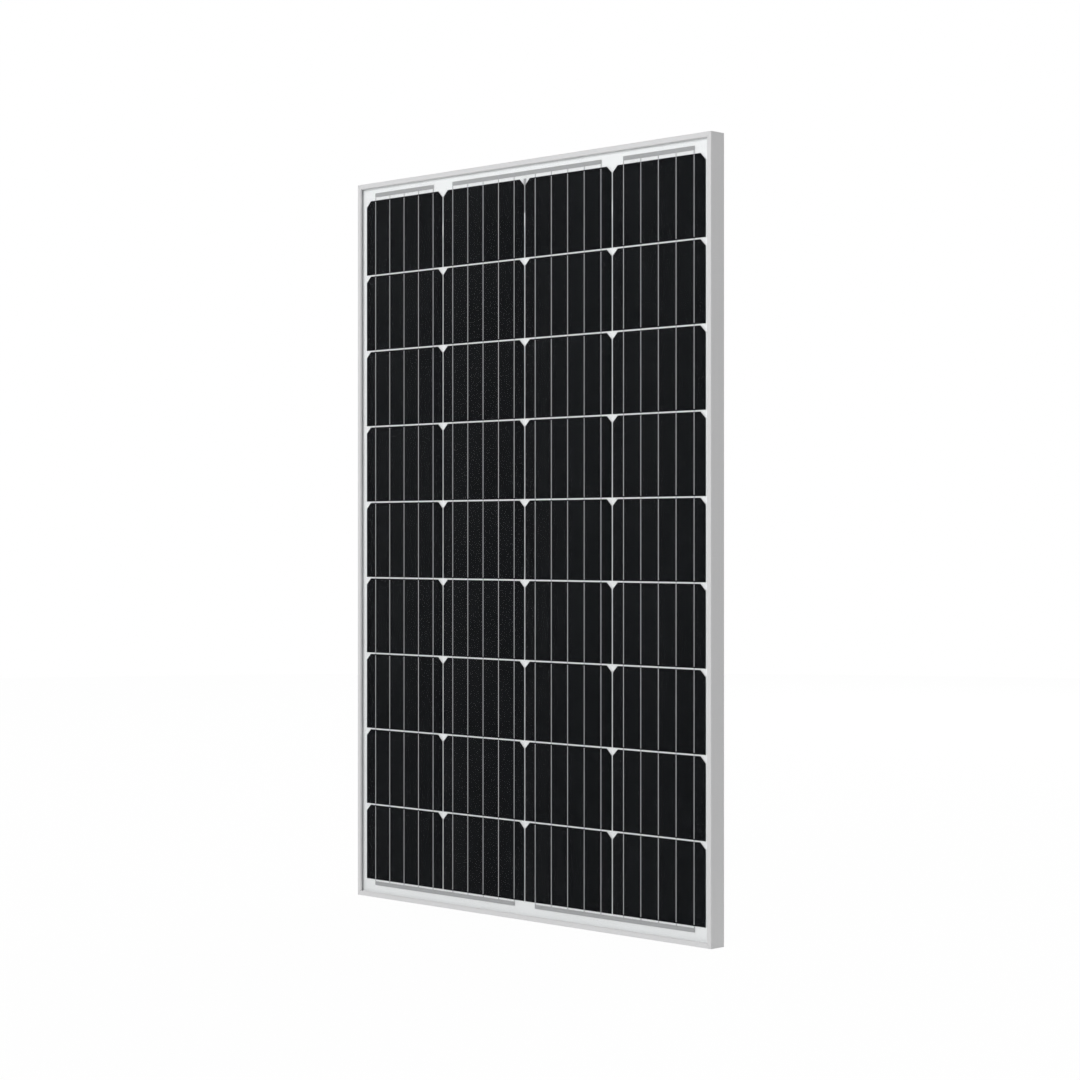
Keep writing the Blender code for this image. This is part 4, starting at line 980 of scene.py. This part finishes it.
class PANEL_OT_glands(bpy.types.Operator):
    """Build the cable glands: a fluted nut, a clamping ring and a rubber seal on each side"""

    bl_idname = "solar_panel.glands"
    bl_label = "Cable glands"

    def execute(self, context):
        finish, box = materials(), context.scene.panel_box
        for name in SIDES:
            self.nut(name, finish["worn_plastic"], box.flutes)
            low, high = sizes(f"clamping_ring_{name}")
            centre, radius = ((low + high) / 2)[:2], (high[0] - low[0]) / 2
            ring = rounded_profile(3.4 * MM, radius, low[2], high[2], 0.6 * MM)
            shape = turned("Z", centre, ring, 40)
            piece(
                f"ring_{name}",
                [shape],
                finish["black_plastic"],
                f"gland_ring_{name}",
                (f"clamping_ring_{name}",),
            )
            low, high = sizes(f"gland_seal_{name}")
            seal = rounded_profile(3.1 * MM, (high[0] - low[0]) / 2, low[2], high[2], 0.3 * MM)
            shape = turned("Z", centre, seal, 40)
            piece(f"seal_{name}", [shape], finish["black_rubber"], "panel", (f"gland_seal_{name}",))
        return {"FINISHED"}

    def nut(self, name, material, flutes):
        """A gland nut: a cup with a domed end, a bored skirt and smooth flutes round its grip.

        Going round the section from the end hole: over the dome, up the fluted grip, over the rim,
        down the bore and back along the inner floor.
        """
        low, high = sizes(f"gland_nut_{name}")
        centre, radius = ((low + high) / 2)[:2], (high[0] - low[0]) / 2
        hole, bore, floor = 3.5 * MM, 6.3 * MM, low[2] + 1.6 * MM
        t = np.linspace(0, math.pi / 2, 6)
        dome = np.stack([hole + (radius - hole) * np.sin(t) ** 0.8, low[2] + 1.5 * MM * (1 - np.cos(t))], 1)
        grip = np.array([(radius, z) for z in np.linspace(low[2] + 3.0 * MM, high[2] - 1.4 * MM, 8)])
        collar = np.array([(radius, high[2] - 1.0 * MM), (radius, high[2] - 0.2 * MM), (radius - 0.2 * MM, high[2])])
        inside = np.array([(bore + 0.2 * MM, high[2]), (bore, high[2] - 0.2 * MM), (bore, floor), (hole, floor)])
        profile = np.concatenate([dome, grip, collar, inside])
        fluted = np.zeros(len(profile))
        fluted[len(dome) + 1 : len(dome) + 7] = 1.0
        fluted[len(dome)] = fluted[len(dome) + 7] = 0.35
        shape = turned("Z", centre, profile, 144, flutes, 0.55 * MM, fluted)
        piece(
            f"nut_{name}", [shape], material, f"gland_nut_{name}", (f"gland_nut_{name}",), angle=35.0
        )


class PANEL_PT_sidebar(bpy.types.Panel):
    """The panel's sizes, colours and pieces"""

    bl_label = "Solar Panel"
    bl_idname = "PANEL_PT_sidebar"
    bl_space_type = "VIEW_3D"
    bl_region_type = "UI"
    bl_category = "Solar Panel"

    def draw(self, context):
        layout = self.layout
        for label, group in (
            ("Cells", context.scene.panel_cells),
            ("Frame", context.scene.panel_frame),
            ("Junction box", context.scene.panel_box),
            ("Stage", context.scene.panel_stage),
        ):
            column = layout.box().column(align=True)
            column.label(text=label)
            for key in group.__annotations__:
                column.prop(group, key)
        for operator in OPERATORS:
            layout.operator(operator.bl_idname)


OPERATORS = (
    PANEL_OT_groups,
    PANEL_OT_stage,
    PANEL_OT_frame,
    PANEL_OT_sheets,
    PANEL_OT_strings,
    PANEL_OT_box,
    PANEL_OT_glands,
)
GROUPS = {
    "panel_cells": CellSizes,
    "panel_frame": FrameSizes,
    "panel_box": BoxSizes,
    "panel_stage": StageSizes,
}


def register():
    for group in GROUPS.values():
        bpy.utils.register_class(group)
    for name, group in GROUPS.items():
        setattr(bpy.types.Scene, name, bpy.props.PointerProperty(type=group))
    for operator in OPERATORS:
        bpy.utils.register_class(operator)
    bpy.utils.register_class(PANEL_PT_sidebar)


def unregister():
    bpy.utils.unregister_class(PANEL_PT_sidebar)
    for operator in reversed(OPERATORS):
        bpy.utils.unregister_class(operator)
    for name, group in GROUPS.items():
        delattr(bpy.types.Scene, name)
        bpy.utils.unregister_class(group)


def main():
    register()
    bpy.ops.solar_panel.groups()
    bpy.ops.solar_panel.stage()
    bpy.ops.solar_panel.frame()
    bpy.ops.solar_panel.sheets()
    bpy.ops.solar_panel.strings()
    bpy.ops.solar_panel.box()
    bpy.ops.solar_panel.glands()


if __name__ == "__main__":
    main()
